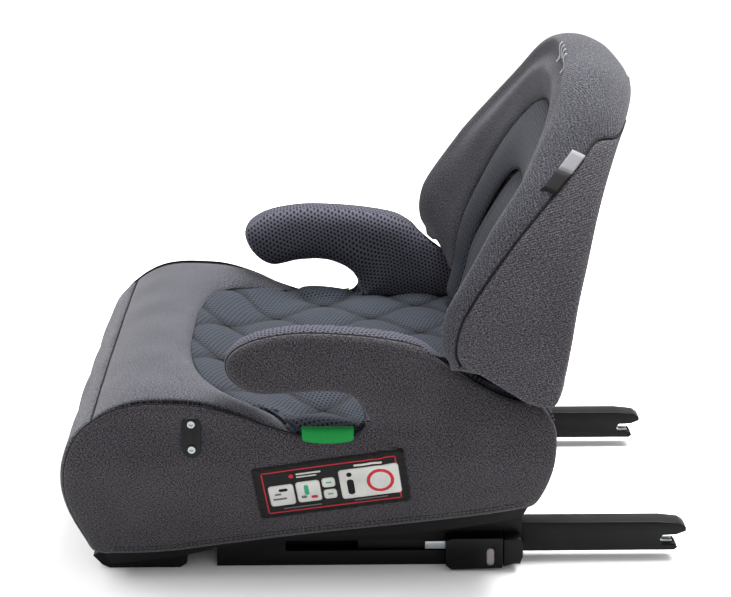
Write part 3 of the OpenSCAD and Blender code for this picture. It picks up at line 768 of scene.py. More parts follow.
class Sewing:
    """Threads and seam cords, made along paths by geometry nodes."""

    def __init__(self) -> None:
        """Builds both trees once."""
        self.stitch_tree = self.make_stitch_tree()
        self.cord_tree = self.make_cord_tree()

    @staticmethod
    def start_tree(name: str, sizes: Sequence[str]) -> tuple:
        """Starts a tree with a path, named sizes and a material as inputs.

        Args:
            name: Name of the tree.
            sizes: Names of the number inputs.

        Returns:
            The tree and its input node.
        """
        tree = bpy.data.node_groups.new(name, "GeometryNodeTree")
        face = tree.interface
        face.new_socket("Path", in_out="INPUT", socket_type="NodeSocketGeometry")
        for size in sizes:
            face.new_socket(size, in_out="INPUT", socket_type="NodeSocketFloat")
        face.new_socket("Finish", in_out="INPUT", socket_type="NodeSocketMaterial")
        face.new_socket("Sewn", in_out="OUTPUT", socket_type="NodeSocketGeometry")
        return tree, add_node(tree, "NodeGroupInput")

    @staticmethod
    def end_tree(tree: bpy.types.NodeTree, given: bpy.types.Node,
                 made: bpy.types.NodeSocket) -> bpy.types.NodeTree:
        """Ends a tree with real, smooth geometry in the given finish."""
        real = add_node(tree, "GeometryNodeRealizeInstances", {0: made})
        soft = add_node(tree, "GeometryNodeSetShadeSmooth", {0: real.outputs[0]})
        dressed = add_node(tree, "GeometryNodeSetMaterial", {0: soft.outputs[0],
                           "Material": given.outputs["Finish"]})
        add_node(tree, "NodeGroupOutput", {0: dressed.outputs[0]})
        return tree

    def make_stitch_tree(self) -> bpy.types.NodeTree:
        """Tree that lays one short stitch at every pitch along a path."""
        tree, given = self.start_tree("stitches_along_path", ("Pitch", "Length", "Radius"))
        path = add_node(tree, "GeometryNodeMeshToCurve", {0: given.outputs["Path"]})
        even = add_node(tree, "GeometryNodeResampleCurve", {0: path.outputs[0],
                        "Length": given.outputs["Pitch"]}, mode="LENGTH")
        bead = add_node(tree, "GeometryNodeMeshUVSphere", {"Segments": 6, "Rings": 4,
                                                           "Radius": 1.0})
        way = add_node(tree, "GeometryNodeInputTangent")
        turn = add_node(tree, "FunctionNodeAlignRotationToVector", {"Vector": way.outputs[0]},
                        axis="Z")
        size = add_node(tree, "ShaderNodeCombineXYZ", {0: given.outputs["Radius"],
                        1: given.outputs["Radius"], 2: given.outputs["Length"]})
        sown = add_node(tree, "GeometryNodeInstanceOnPoints", {0: even.outputs[0],
                        "Instance": bead.outputs[0], "Rotation": turn.outputs[0],
                        "Scale": size.outputs[0]})
        return self.end_tree(tree, given, sown.outputs[0])

    def make_cord_tree(self) -> bpy.types.NodeTree:
        """Tree that runs a round cord along a path."""
        tree, given = self.start_tree("cord_along_path", ("Radius",))
        path = add_node(tree, "GeometryNodeMeshToCurve", {0: given.outputs["Path"]})
        ring = add_node(tree, "GeometryNodeCurvePrimitiveCircle", {"Resolution": 7,
                        "Radius": given.outputs["Radius"]})
        tube = add_node(tree, "GeometryNodeCurveToMesh", {0: path.outputs[0],
                        1: ring.outputs[0], "Fill Caps": True})
        return self.end_tree(tree, given, tube.outputs[0])

    @staticmethod
    def lay(name: str, paths: Sequence[Array], tree: bpy.types.NodeTree, finish: Finish,
            sizes: dict[str, float], body: str) -> bpy.types.Object:
        """Runs a tree along paths and keeps the plain mesh.

        Args:
            name: Name of the piece.
            paths: Paths in millimetres.
            tree: Tree to run.
            finish: What the thread is made of.
            sizes: The tree's number inputs in millimetres, by name.
            body: Body that it rides on.

        Returns:
            The piece.
        """
        points = np.vstack(paths) * MM
        edges, start = [], 0
        for path in paths:
            edges += [(start + k, start + k + 1) for k in range(len(path) - 1)]
            start += len(path)
        line = bpy.data.meshes.new(name + "_path")
        line.from_pydata(points.tolist(), edges, [])
        guide = bpy.data.objects.new(name + "_path", line)
        bpy.context.scene.collection.objects.link(guide)
        modifier = guide.modifiers.new("Sewing", "NODES")
        modifier.node_group = tree
        for item in tree.interface.items_tree:
            if item.in_out == "INPUT" and item.name in sizes:
                modifier[item.identifier] = sizes[item.name] * MM
            elif item.in_out == "INPUT" and item.name == "Finish":
                modifier[item.identifier] = finish.material()
        seen = guide.evaluated_get(bpy.context.evaluated_depsgraph_get())
        mesh = bpy.data.meshes.new_from_object(seen)
        guide.modifiers.clear()
        bpy.data.objects.remove(guide)
        mesh.name = name
        count = len(mesh.loops)
        layer = mesh.uv_layers.get(CLOTH_UV) or mesh.uv_layers.new(name=CLOTH_UV)
        corners = np.empty(count, int)
        mesh.loops.foreach_get("vertex_index", corners)
        place = np.empty(len(mesh.vertices) * 3)
        mesh.vertices.foreach_get("co", place)
        place = place.reshape(-1, 3)[corners] / MM
        layer.data.foreach_set("uv", np.stack([place[:, 0] + place[:, 1], place[:, 2]], 1).ravel())
        obj = bpy.data.objects.new(name, mesh)
        bpy.context.scene.collection.objects.link(obj)
        return settle(obj, finish, body)

    def stitches(self, name: str, paths: Sequence[Array], body: str,
                 finish: Finish = DARK_THREAD, pitch: float = 4.0) -> bpy.types.Object:
        """Row of stitches along each path."""
        sizes = {"Pitch": pitch, "Length": pitch * 0.4, "Radius": 0.42}
        return self.lay(name, paths, self.stitch_tree, finish, sizes, body)

    def cords(self, name: str, paths: Sequence[Array], body: str, radius: float = 0.7,
              finish: Finish = DARK_THREAD) -> bpy.types.Object:
        """Round cord along each path."""
        return self.lay(name, paths, self.cord_tree, finish, {"Radius": radius}, body)


# -------------------------------------------------------------------------- Seat base


@dataclass
class SeatOutline:
    """Side views and half widths that the base's covers share."""

    widest: float = 214.0
    shoulder_z: float = 122.0
    draft: float = 0.30
    flare: float = 9.5
    seam: list = field(default_factory=lambda: [
        (-68, 147.5), (-80, 150.5), (-100, 157.5), (-123, 167.5), (-154, 176.5), (-185, 179),
        (-205, 178.5), (-221, 175.5), (-235, 169.5), (-247, 161.5), (-256, 153.5), (-264, 142)])
    front: list = field(default_factory=lambda: [
        (-269.5, 129), (-273, 114), (-274, 96), (-271.5, 78), (-266, 60), (-258, 41), (-252, 28)])
    hem: list = field(default_factory=lambda: [
        (-234, 26), (-204, 26.5), (-177, 29), (-133, 36), (-71, 45), (-1, 53.5), (43, 59),
        (87, 65), (122, 71.5), (134, 76)])
    rear: list = field(default_factory=lambda: [
        (141, 88), (146.5, 104), (149.5, 120), (150.5, 138), (149, 153), (142, 165), (130, 172.5)])
    arm_top: list = field(default_factory=lambda: [
        (112, 177), (97, 183), (80, 192), (64, 203), (50, 214), (39, 224), (26, 231), (7, 235.5),
        (-18, 239), (-44, 241), (-69, 241.5), (-94, 238.5), (-112, 233.5), (-124, 226.5)])
    arm_tip: list = field(default_factory=lambda: [
        (-130, 219.5), (-131.5, 211.5), (-128.5, 203), (-121.5, 195.5), (-112, 190.5)])
    arm_under: list = field(default_factory=lambda: [
        (-100, 188.5), (-78, 189), (-54, 190.5), (-36, 189.5), (-25, 186), (-17.5, 179),
        (-13.5, 169), (-13.5, 158.5), (-18, 151.5)])

    def side_x(self, y: Array, z: Array) -> Array:
        """Half width of the side covers at a place on them.

        Args:
            y: Places along the seat.
            z: Heights.

        Returns:
            Distances from the middle of the seat.
        """
        below = self.shoulder_z - np.asarray(z, float)
        lean = self.draft * 0.5 * (below + np.sqrt(below * below + 36.0)) - 0.3
        out = ease(z, 150, 192)
        armrest = self.flare * (1 - ease(y, 20, 62)) - 7.5 * ease(y, 34, 84)
        return self.widest - lean + out * armrest


@dataclass
class SideCovers:
    """The two side covers, each one cloth from the front seam to the armrest's top seam."""

    shape: SeatOutline
    sewing: Sewing
    cloth_t: float = 3.0
    seam_reach: float = 9.0
    hem_rise: float = 8.0

    def outline(self) -> Array:
        """Closed outline of the cover in the side view."""
        s = self.shape
        gap = [(-30, 147.5), (-48, 146.3)]
        points = s.seam + s.front + s.hem + s.rear + s.arm_top + s.arm_tip + s.arm_under + gap
        return through(points, 2.6, closed=True)

    def creases(self, y: Array, z: Array) -> Array:
        """Creases that fan out behind the belt gap, where the cloth is pulled."""
        total = np.zeros_like(y)
        for y0, z0, y1, z1, depth, width in (
                (-14, 149, 24, 127, 2.6, 3.8), (-17, 147, 6, 116, 2.2, 4.2),
                (-22, 146, -14, 118, 1.6, 5.0), (-64, 147, -86, 118, 1.5, 6.0),
                (-8, 153, 46, 141, 2.2, 4.4)):
            along = np.array([y1 - y0, z1 - z0], float)
            length = np.linalg.norm(along)
            share = np.clip(((y - y0) * along[0] + (z - z0) * along[1]) / length**2, 0, 1)
            gap = np.hypot(y - y0 - share * along[0], z - z0 - share * along[1])
            total += depth * np.exp(-(gap / width) ** 2) * np.sin(np.pi * (0.15 + 0.85 * share))
        return total

    def surface_x(self, y: Array, z: Array, reach: Array) -> Array:
        """Half width of the finished cover, with its edges and creases.

        Args:
            y: Places along the seat.
            z: Heights.
            reach: Distance of each place from the cover's edge.

        Returns:
            Distances from the middle of the seat.
        """
        on_arm = ease(z, 186, 200)
        fall = (edge_drop(reach, self.seam_reach, 3.6) * (1 - on_arm)
                + edge_drop(reach, 8.5, 7.0) * on_arm)
        calm = ease(reach, 4, 22)
        swell = 1.2 * calm * np.sin(np.clip((z - 60) / 120, 0, 1) * np.pi)
        folds = (self.creases(y, z) + ripple(y, z, 74, 0.7)) * calm
        return self.shape.side_x(y, z) - fall + folds + swell

    def build(self) -> Callable[[Array, Array], Array]:
        """Makes both covers with their hems.

        Returns:
            A function that gives the cover's half width at a place, for what lies on it.
        """
        outline = self.outline()
        flat, faces, reach = cut_panel(outline, 3.4, (0.9, 2.2, 4.0, 6.4, 9.2))
        x = self.surface_x(flat[:, 0], flat[:, 1], reach)
        points = np.column_stack([x, flat])
        cloth = Cloth(points, faces, flat.copy()).facing((1, 0, 0)).shell(self.cloth_t)
        hem = through([(p[0], p[1] + self.hem_rise) for p in self.shape.hem[:-1]], 2.0)
        lower = hem - np.array([0, 3.2])
        seam = through(self.shape.seam + self.shape.front[:-1], 2.0)
        arm = through(self.shape.arm_top[2:] + self.shape.arm_tip + self.shape.arm_under, 2.0)
        for side in Side:
            name = side.word
            cloth.on(side).piece(f"{name}_side_cloth", DARK_MELANGE, "base", "dark_melange",
                                 [f"{name}_side_cover"])
            rows = []
            for path in (hem, lower):
                gap = edge_distance(path, outline)
                depth = self.surface_x(path[:, 0], path[:, 1], gap) + 0.15
                rows.append(np.column_stack([depth * side.value, path]))
            self.sewing.stitches(f"{name}_hem_stitches", rows, "base", DARK_THREAD)
            lines = []
            for path, fall in ((seam, 3.9), (arm, 7.2)):
                depth = self.shape.side_x(path[:, 0], path[:, 1]) - fall
                lines.append(np.column_stack([depth * side.value, path]))
            self.sewing.cords(f"{name}_side_seam", lines, "base", 0.8)

        def half_width(y: Array, z: Array) -> Array:
            """Half width of the cover away from its edges."""
            return self.surface_x(y, z, edge_distance(np.column_stack([y, z]), outline))

        return half_width


@dataclass
class Armrests:
    """Mesh part of each armrest: its top band, its tip and its inner face."""

    shape: SeatOutline
    inner_x: float = 183.0
    seam_x: float = 217.0
    round_reach: float = 14.0
    hang: list = field(default_factory=lambda: [
        (-128, 3), (-105, 7), (-91, 5), (-78, 2.5), (-61, 2.5), (-46, 4), (-36, 6.5), (-27, 8.5),
        (-17, 10), (-10, 9), (18, 0)])

    def outline(self) -> Array:
        """Closed outline of an armrest in the side view, down to the seat."""
        s = self.shape
        floor = [(-13, 149.5), (40, 149), (100, 149), (145, 149)]
        points = [(147, 158), (140, 168), (128, 173)] + s.arm_top + s.arm_tip + s.arm_under[:-1] + floor
        return through(points, 3.0, closed=True)

    @staticmethod
    def shown(places: Array) -> Array:
        """Share of the armrest's full width at places in its side view."""
        return ease(places[:, 1], 152, 162) * (1 - ease(places[:, 0], 40, 58))

    def hung(self, points: Array) -> Array:
        """Lowers the underside of an armrest towards its inner face, where its padding hangs.

        Args:
            points: Points of the left armrest.

        Returns:
            The points, with the lowered ones moved down.
        """
        moved = points.copy()
        inward = ease(self.seam_x - points[:, 0], 3, 26)
        under = (1 - ease(points[:, 2], 190, 222)) * ease(points[:, 2], 148, 166)
        moved[:, 2] -= level(points[:, 1], self.hang) * inward * under
        return moved

    def build(self) -> None:
        """Makes the mesh part of both armrests."""
        outline = self.outline()
        flat, faces, reach = cut_panel(outline, 3.8, (0.5, 1.6, 3.4, 6.0, 9.4, 13.5))
        depth = 5 + 8 * self.shown(flat)
        start_x = (self.inner_x + 5 + 8 * self.shown(outline))
        x = self.inner_x + edge_drop(reach, self.round_reach, 1.0) * depth
        x = (x - 1.5 * ease(reach, 6, 24)
             + ripple(flat[:, 0], flat[:, 1], 60, 0.8) * ease(reach, 5, 20))
        spots = self.hung(np.column_stack([x, flat]))
        inner = Cloth(spots, faces, flat.copy()).facing((-1, 0, 0))
        inner_flat = inner.flat
        tangent = np.roll(outline, -1, 0) - np.roll(outline, 1, 0)
        out = np.stack([tangent[:, 1], -tangent[:, 0]], 1)
        out /= np.linalg.norm(out, axis=1)[:, None]
        if inside(outline[:1] + out[:1], outline)[0]:
            out = -out
        steps = [(0.2, 0.9), (0.43, 1.5), (0.67, 1.4), (0.86, 0.7), (0.98, -0.5), (0.96, -3.5)]
        limit = start_x + 2 + (self.seam_x - start_x - 2) * self.shown(outline)
        count = len(outline)
        points, flats, found = [inner.points], [inner_flat], list(inner.faces)
        previous = np.arange(count)
        total = len(inner.points)
        for share, rise in steps:
            row_x = start_x + (limit - start_x) * share
            row = outline + out * rise
            points.append(self.hung(np.column_stack([row_x, row])))
            flats.append(outline + out * (row_x - start_x)[:, None])
            ring = np.arange(total, total + count)
            total += count
            found += [(int(previous[i]), int(previous[(i + 1) % count]), int(ring[(i + 1) % count]),
                       int(ring[i])) for i in range(count)]
            previous = ring
        rim = Cloth(np.vstack(points), found, np.vstack(flats))
        first = found[len(inner.faces)]
        forward = (first[0], first[1])
        if any((f[k], f[(k + 1) % len(f)]) == forward for f in inner.faces for k in range(len(f))):
            rim.faces = list(inner.faces) + [tuple(reversed(f)) for f in found[len(inner.faces):]]
        shell = rim.shell(2.5)
        for side in Side:
            name = side.word
            shell.on(side).piece(f"{name}_armrest_mesh", ARMREST_MESH, "base", "armrest_mesh",
                                 [f"{name}_armrest_pad"], fill=0.8)


@dataclass
class NoseCover:
    """The padded nose: a front panel, and a top panel that runs round the seat pad."""

    shape: SeatOutline
    sewing: Sewing
    half_w: float = 208.5
    pad_half: float = 178.0
    centre: list = field(default_factory=lambda: [
        (-262, 150), (-250, 160.5), (-240, 168.5), (-229, 175.5), (-217, 181), (-203, 184.5), (-188, 186),
        (-172, 186), (-145, 182.5), (-118, 174), (-100, 164.5), (-88, 155), (-76, 148.5), (-60, 145)])

    def seam_z(self, y: Array) -> Array:
        """Height of the side seam along the nose."""
        return level(y, sorted(self.shape.seam + [(-60, 146)]))

    def pad_front(self, x: Array) -> Array:
        """Where the seat pad's round front edge lies, by distance from the middle."""
        share = np.clip(np.abs(x) / self.pad_half, 0, 1)
        return -94 - 80 * (1 - share**2.6) ** (1 / 2.6)

    def pad_rim_z(self, y: Array) -> Array:
        """Height of the valley between the nose and the seat pad."""
        return level(y, [(-180, 172), (-160, 170), (-135, 164), (-110, 157), (-94, 152.5), (-70, 146)])

    def height(self, x: Array, y: Array) -> Array:
        """Height of the nose's top before its seams pull it down."""
        side = self.seam_z(y)
        middle = level(y, self.centre)
        share = np.clip((np.abs(x) - 120) / (self.half_w - 120), 0, 1)
        return side + (middle - side) * np.sqrt(np.maximum(1 - share**2, 0))

    def rings(self) -> tuple[Array, Array]:
        """Outer and inner edges of the top panel in plan, from the left rear to the right rear."""
        across = 61
        y_side = np.linspace(-70, -249, 60)[:, None]
        front_x = np.linspace(self.half_w, -self.half_w, across)[1:-1, None]
        front_y = -249 - 1.5 * np.sin((1 - np.abs(front_x) / self.half_w) * np.pi / 2)
        left = np.hstack([np.full_like(y_side, self.half_w), y_side])
        outer = np.vstack([left, np.hstack([front_x, front_y]), left[::-1] * [-1, 1]])
        angles = np.linspace(0, np.pi / 2, 70)
        x = self.pad_half * np.sin(angles)[::-1] ** 0.9
        arc = np.column_stack([x, self.pad_front(x)])
        tail = np.column_stack([np.linspace(190, self.pad_half, 12, endpoint=False),
                                np.linspace(-66, -94, 12, endpoint=False)])
        half = np.vstack([tail, arc])
        inner = np.vstack([half, half[-2::-1] * [-1, 1]])
        return outer, inner

    def match(self, outer: Array, inner: Array, count: int) -> tuple[Array, Array]:
        """Samples both edges so that their corners fall together."""
        corner_out = [0, 59, len(outer) - 60, len(outer) - 1]
        cut = int(np.argmin(np.abs(inner[: len(inner) // 2, 0] - 146)))
        corner_in = [0, cut, len(inner) - 1 - cut, len(inner) - 1]
        parts = (count, count, count)
        made = []
        for run, corners in ((outer, corner_out), (inner, corner_in)):
            pieces = [resample(run[a:b + 1], count=n)[(0 if k == 0 else 1):]
                      for k, (a, b, n) in enumerate(zip(corners, corners[1:], parts))]
            made.append(np.vstack(pieces))
        return made[0], made[1]

    def build_top(self) -> None:
        """Makes the top panel as a band between its outer seam and the seat pad."""
        outer, inner = self.match(*self.rings(), 70)
        shares = np.concatenate([[0, 0.006, 0.02, 0.045, 0.08, 0.12], np.linspace(0.18, 0.8, 18),
                                 [0.86, 0.91, 0.95, 0.98, 0.997, 1]])
        plan = outer[None] + (inner - outer)[None] * shares[:, None, None]
        x, y = plan[..., 0], plan[..., 1]
        z = self.height(x, y)
        rim = self.pad_rim_z(inner[:, 1])[None]
        gap = np.linalg.norm(plan - inner[None], axis=2)
        width = np.linalg.norm(outer - inner, axis=1)[None]
        reach = np.minimum(30, width * 0.62)
        sink = np.maximum(z - rim, 0)
        z = z - sink * (1 - np.sqrt(1 - (1 - np.clip(gap / reach, 0, 1)) ** 2))
        z = z + ripple(x, y, 82, 0.9) * ease(gap, 4, 24)
        z[-1] -= 9.0
        points = np.dstack([x, y, z])
        reach_out = grid_reach(points, "a")
        inwards = np.cumsum(np.linalg.norm(np.diff(points, axis=0), axis=2), axis=0)
        inwards = np.vstack([np.zeros((1, inwards.shape[1])), inwards])
        around = np.linalg.norm(np.diff(points[len(points) // 2], axis=0), axis=1)
        around = np.concatenate([[0], np.cumsum(around)])[None] * np.ones_like(x)
        cloth = Cloth.grid(points, np.dstack([around, inwards])).facing((0, 0, 1))
        cloth.raised(-edge_drop(reach_out, 8, 2.8).ravel())
        tucked = cloth.points.reshape(points.shape)
        tucked[0, :, 2] -= 6.0
        tucked[0, :, 0] *= 1.004
        cloth.shell(3.5).piece(
            "nose_top_cloth", LIGHT_MELANGE, "base", "light_melange", fill=0.8)
        rim_line = np.column_stack([inner, self.pad_rim_z(inner[:, 1]) + 0.5])
        self.sewing.cords("seat_pad_seam", [rim_line], "base", 0.9)

    def front_edge(self) -> Array:
        """Side view of the front face from the cross seam down to the hem."""
        front = [(y - 4.0, z) for y, z in self.shape.front]
        return through([(-249.5, 161.5), (-258, 154), (-268, 142)] + front
                       + [(-248, 24), (-240, 23)], 3.0)

    def build_front(self) -> None:
        """Makes the front panel and its cross seam."""
        profile = self.front_edge()
        half = self.shape.side_x(profile[:, 0], profile[:, 1]) - 4.0
        half = np.minimum(half, self.half_w)
        share = np.concatenate([np.linspace(-1, -0.94, 6)[:-1], np.linspace(-0.94, 0.94, 66),
                                np.linspace(0.94, 1, 6)[1:]])
        x = half[:, None] * share[None]
        y = np.repeat(profile[:, :1], len(share), 1)
        z = np.repeat(profile[:, 1:], len(share), 1)
        bow = 1.5 * np.sin((1 - np.abs(share)) * np.pi / 2)[None] * np.ones_like(x)
        points = np.dstack([x, y - bow * 0.8, z])
        reach = grid_reach(points, "alr")
        lumps = ripple(x, z, 88, 1.3) * ease(reach, 4, 30)
        cloth = Cloth.grid(points, np.dstack([x, z - y * 0.4])).facing((0, -1, 0))
        fall = edge_drop(reach, 8, 2.8)
        cloth.raised((lumps - fall).ravel()).shell(3.5).piece(
            "nose_front_cloth", LIGHT_MELANGE, "base", "light_melange", ["nose_cover"], fill=0.7)
        cross = np.column_stack([x[0], y[0] - bow[0] * 0.8 + 1.2, z[0] - 1.6])
        self.sewing.cords("nose_cross_seam", [cross], "base", 0.8)

    def build(self) -> None:
        """Makes the whole nose."""
        self.build_top()
        self.build_front()


@dataclass
class SeatPad:
    """Quilted seat pad, sewn in leaf-shaped cells and puffed between its stitches."""

    nose: NoseCover
    rear_y: float = 92.0
    cell_x: float = 51.0
    cell_y: float = 47.5
    origin_x: float = -102.0
    origin_y: float = -3.0
    puff: float = 8.0
    bend: float = 0.03

    def half_width(self, y: Array) -> Array:
        """Half width of the pad, which spreads out through the belt gaps."""
        gap = ease(y, -96, -72) * (1 - ease(y, -22, -6))
        return 178 + 29 * gap + 6 * ease(y, -10, 5)

    def cells(self, x: Array, y: Array) -> tuple[Array, Array]:
        """Share of the way across a cell, along each of the two stitch directions."""
        a = (x - self.origin_x) / self.cell_x
        b = (y - self.origin_y) / self.cell_y
        first = (a + b) / 2 + self.bend * np.sin(np.pi * (a - b))
        second = (a - b) / 2 + self.bend * np.sin(np.pi * (a + b))
        return first, second

    def sewn(self, x: Array, y: Array) -> Array:
        """Nearness to a stitch line, from 0 on it to 1 in the middle of a cell."""
        first, second = self.cells(x, y)
        return np.abs(np.sin(np.pi * first)) * np.abs(np.sin(np.pi * second))

    def ground(self, x: Array, y: Array) -> Array:
        """Height of the pad's stitches."""
        front = self.nose.pad_front(np.clip(x, -178, 178))
        rise = (self.nose.pad_rim_z(front) - 147.5) * (1 - ease(y - front, -4, 62))
        dish = 6 * (1 - (np.clip(np.abs(x), 0, 170) / 170) ** 2) * ease(y, -160, -110)
        gap = ease(y, -90, -70) * (1 - ease(y, -26, -12))
        side = (3.5 * ease(np.abs(x), 168, 188) - 9 * ease(np.abs(x), 197, 207)) * gap
        return 146.5 + rise + dish + side

    def stitch_paths(self) -> list[Array]:
        """Paths of the stitch lines that lie on the pad."""
        along = np.linspace(-14, 14, 900)
        bow = self.bend * np.sin(np.pi * along)
        paths = []
        for line in range(-7, 8):
            for way in (1, -1):
                a = along / 2 + line - bow
                b = way * (line - bow - along / 2)
                x, y = self.origin_x + a * self.cell_x, self.origin_y + b * self.cell_y
                front = self.nose.pad_front(np.clip(x, -178, 178))
                on = (np.abs(x) < self.half_width(y) - 4) & (y > front + 4) & (y < self.rear_y - 4)
                for run in np.split(np.arange(len(on)), np.flatnonzero(np.diff(on.astype(int))) + 1):
                    if on[run[0]] and len(run) > 6:
                        paths.append(np.column_stack([x, y, self.ground(x, y) + 0.7])[run])
        return paths

    def build(self, sewing: Sewing) -> None:
        """Makes the pad, puffs its cells by simulation, and sews its lines.

        Args:
            sewing: Who sews the threads.
        """
        columns, rows = 92, 62
        share = np.linspace(-1, 1, columns)[None]
        down = np.linspace(0, 1, rows)[:, None]
        x = share * 178 * np.ones((rows, 1))
        front = self.nose.pad_front(x * 0.997)
        y = front + down * (self.rear_y - front)
        x = share * self.half_width(y)
        z = self.ground(x, y) + self.puff * 0.85 * self.sewn(x, y) ** 0.5
        points = np.dstack([x, y, z])
        cloth = Cloth.grid(points, np.dstack([x, y])).facing((0, 0, 1))
        obj = cloth.piece("quilted_seat_pad", QUILT_MESH, "base", "quilt_mesh",
                          ["quilted_pad"], fill=0.6)
        # Painted shade for the stitch valleys: 1 on the stitch lines, falling to 0 towards the middle of
        # each cell.
        shade = obj.data.attributes.new(VALLEY_SHADE, "FLOAT", "POINT")
        shade.data.foreach_set("value", np.clip(1 - self.sewn(x, y).ravel() * 4.2, 0, 1))
        rim = grid_reach(points, "azlr").ravel()
        tight = np.clip(1 - self.sewn(x, y).ravel() * 7, 0, 1)
        tight = np.maximum(tight, (rim < 3).astype(float))
        puff_up(obj, tight, pressure=5.0, cap=3.0)
        finish_padding(obj, 4.0)
        # Dark cords along the stitch lines: partly the stitching thread, partly painted shade for the
        # narrow stitch valleys.
        sewing.cords("seat_pad_stitches", self.stitch_paths(), "base", 0.8)


def puff_up(obj: bpy.types.Object, tight: Array, pressure: float, cap: float) -> None:
    """Swells a cloth between its sewn points by simulation, and keeps the result.

    Args:
        obj: Mesh object that swells along its normals.
        tight: How firmly each point is sewn, from 0 to 1.
        pressure: Pressure under the cloth.
        cap: Furthest that a point may move, in millimetres.
    """
    scene = bpy.context.scene
    rest = np.array([v.co for v in obj.data.vertices], float)
    group = obj.vertex_groups.new(name="Pinned")
    for k, weight in enumerate(tight):
        group.add([k], float(weight), "REPLACE")
    cloth = obj.modifiers.new("Swell", "CLOTH")
    settings = cloth.settings
    settings.quality = 6
    settings.mass = 0.2
    settings.tension_stiffness = 12
    settings.compression_stiffness = 12
    settings.shear_stiffness = 4
    settings.bending_stiffness = 0.3
    settings.vertex_group_mass = "Pinned"
    settings.use_pressure = True
    settings.uniform_pressure_force = pressure
    settings.effector_weights.gravity = 0
    for step in range(1, 21):
        scene.frame_set(step)
    seen = obj.evaluated_get(bpy.context.evaluated_depsgraph_get())
    found = np.array([v.co for v in seen.data.vertices], float)
    move = found - rest
    size = np.linalg.norm(move, axis=1)
    move *= (np.minimum(size, cap * MM) / np.maximum(size, 1e-9))[:, None]
    obj.modifiers.clear()
    obj.vertex_groups.clear()
    scene.frame_set(1)
    obj.data.vertices.foreach_set("co", (rest + move).ravel())
    obj.data.update()
    LOG.info("%s swelled by up to %.1f mm", obj.name, min(size.max() / MM, cap))


def finish_padding(obj: bpy.types.Object, thickness: float) -> None:
    """Rounds a padded cloth off with one subdivision and gives it a back.

    Args:
        obj: The cloth, one layer thick.
        thickness: How thick it becomes, in millimetres.
    """
    smooth = obj.modifiers.new("Round", "SUBSURF")
    smooth.levels = smooth.render_levels = 1
    smooth.uv_smooth = "NONE"
    solid = obj.modifiers.new("Back", "SOLIDIFY")
    solid.thickness = thickness * MM
    solid.offset = -1
    seen = obj.evaluated_get(bpy.context.evaluated_depsgraph_get())
    mesh = bpy.data.meshes.new_from_object(seen)
    obj.modifiers.clear()
    old = obj.data
    obj.data = mesh
    bpy.data.meshes.remove(old)


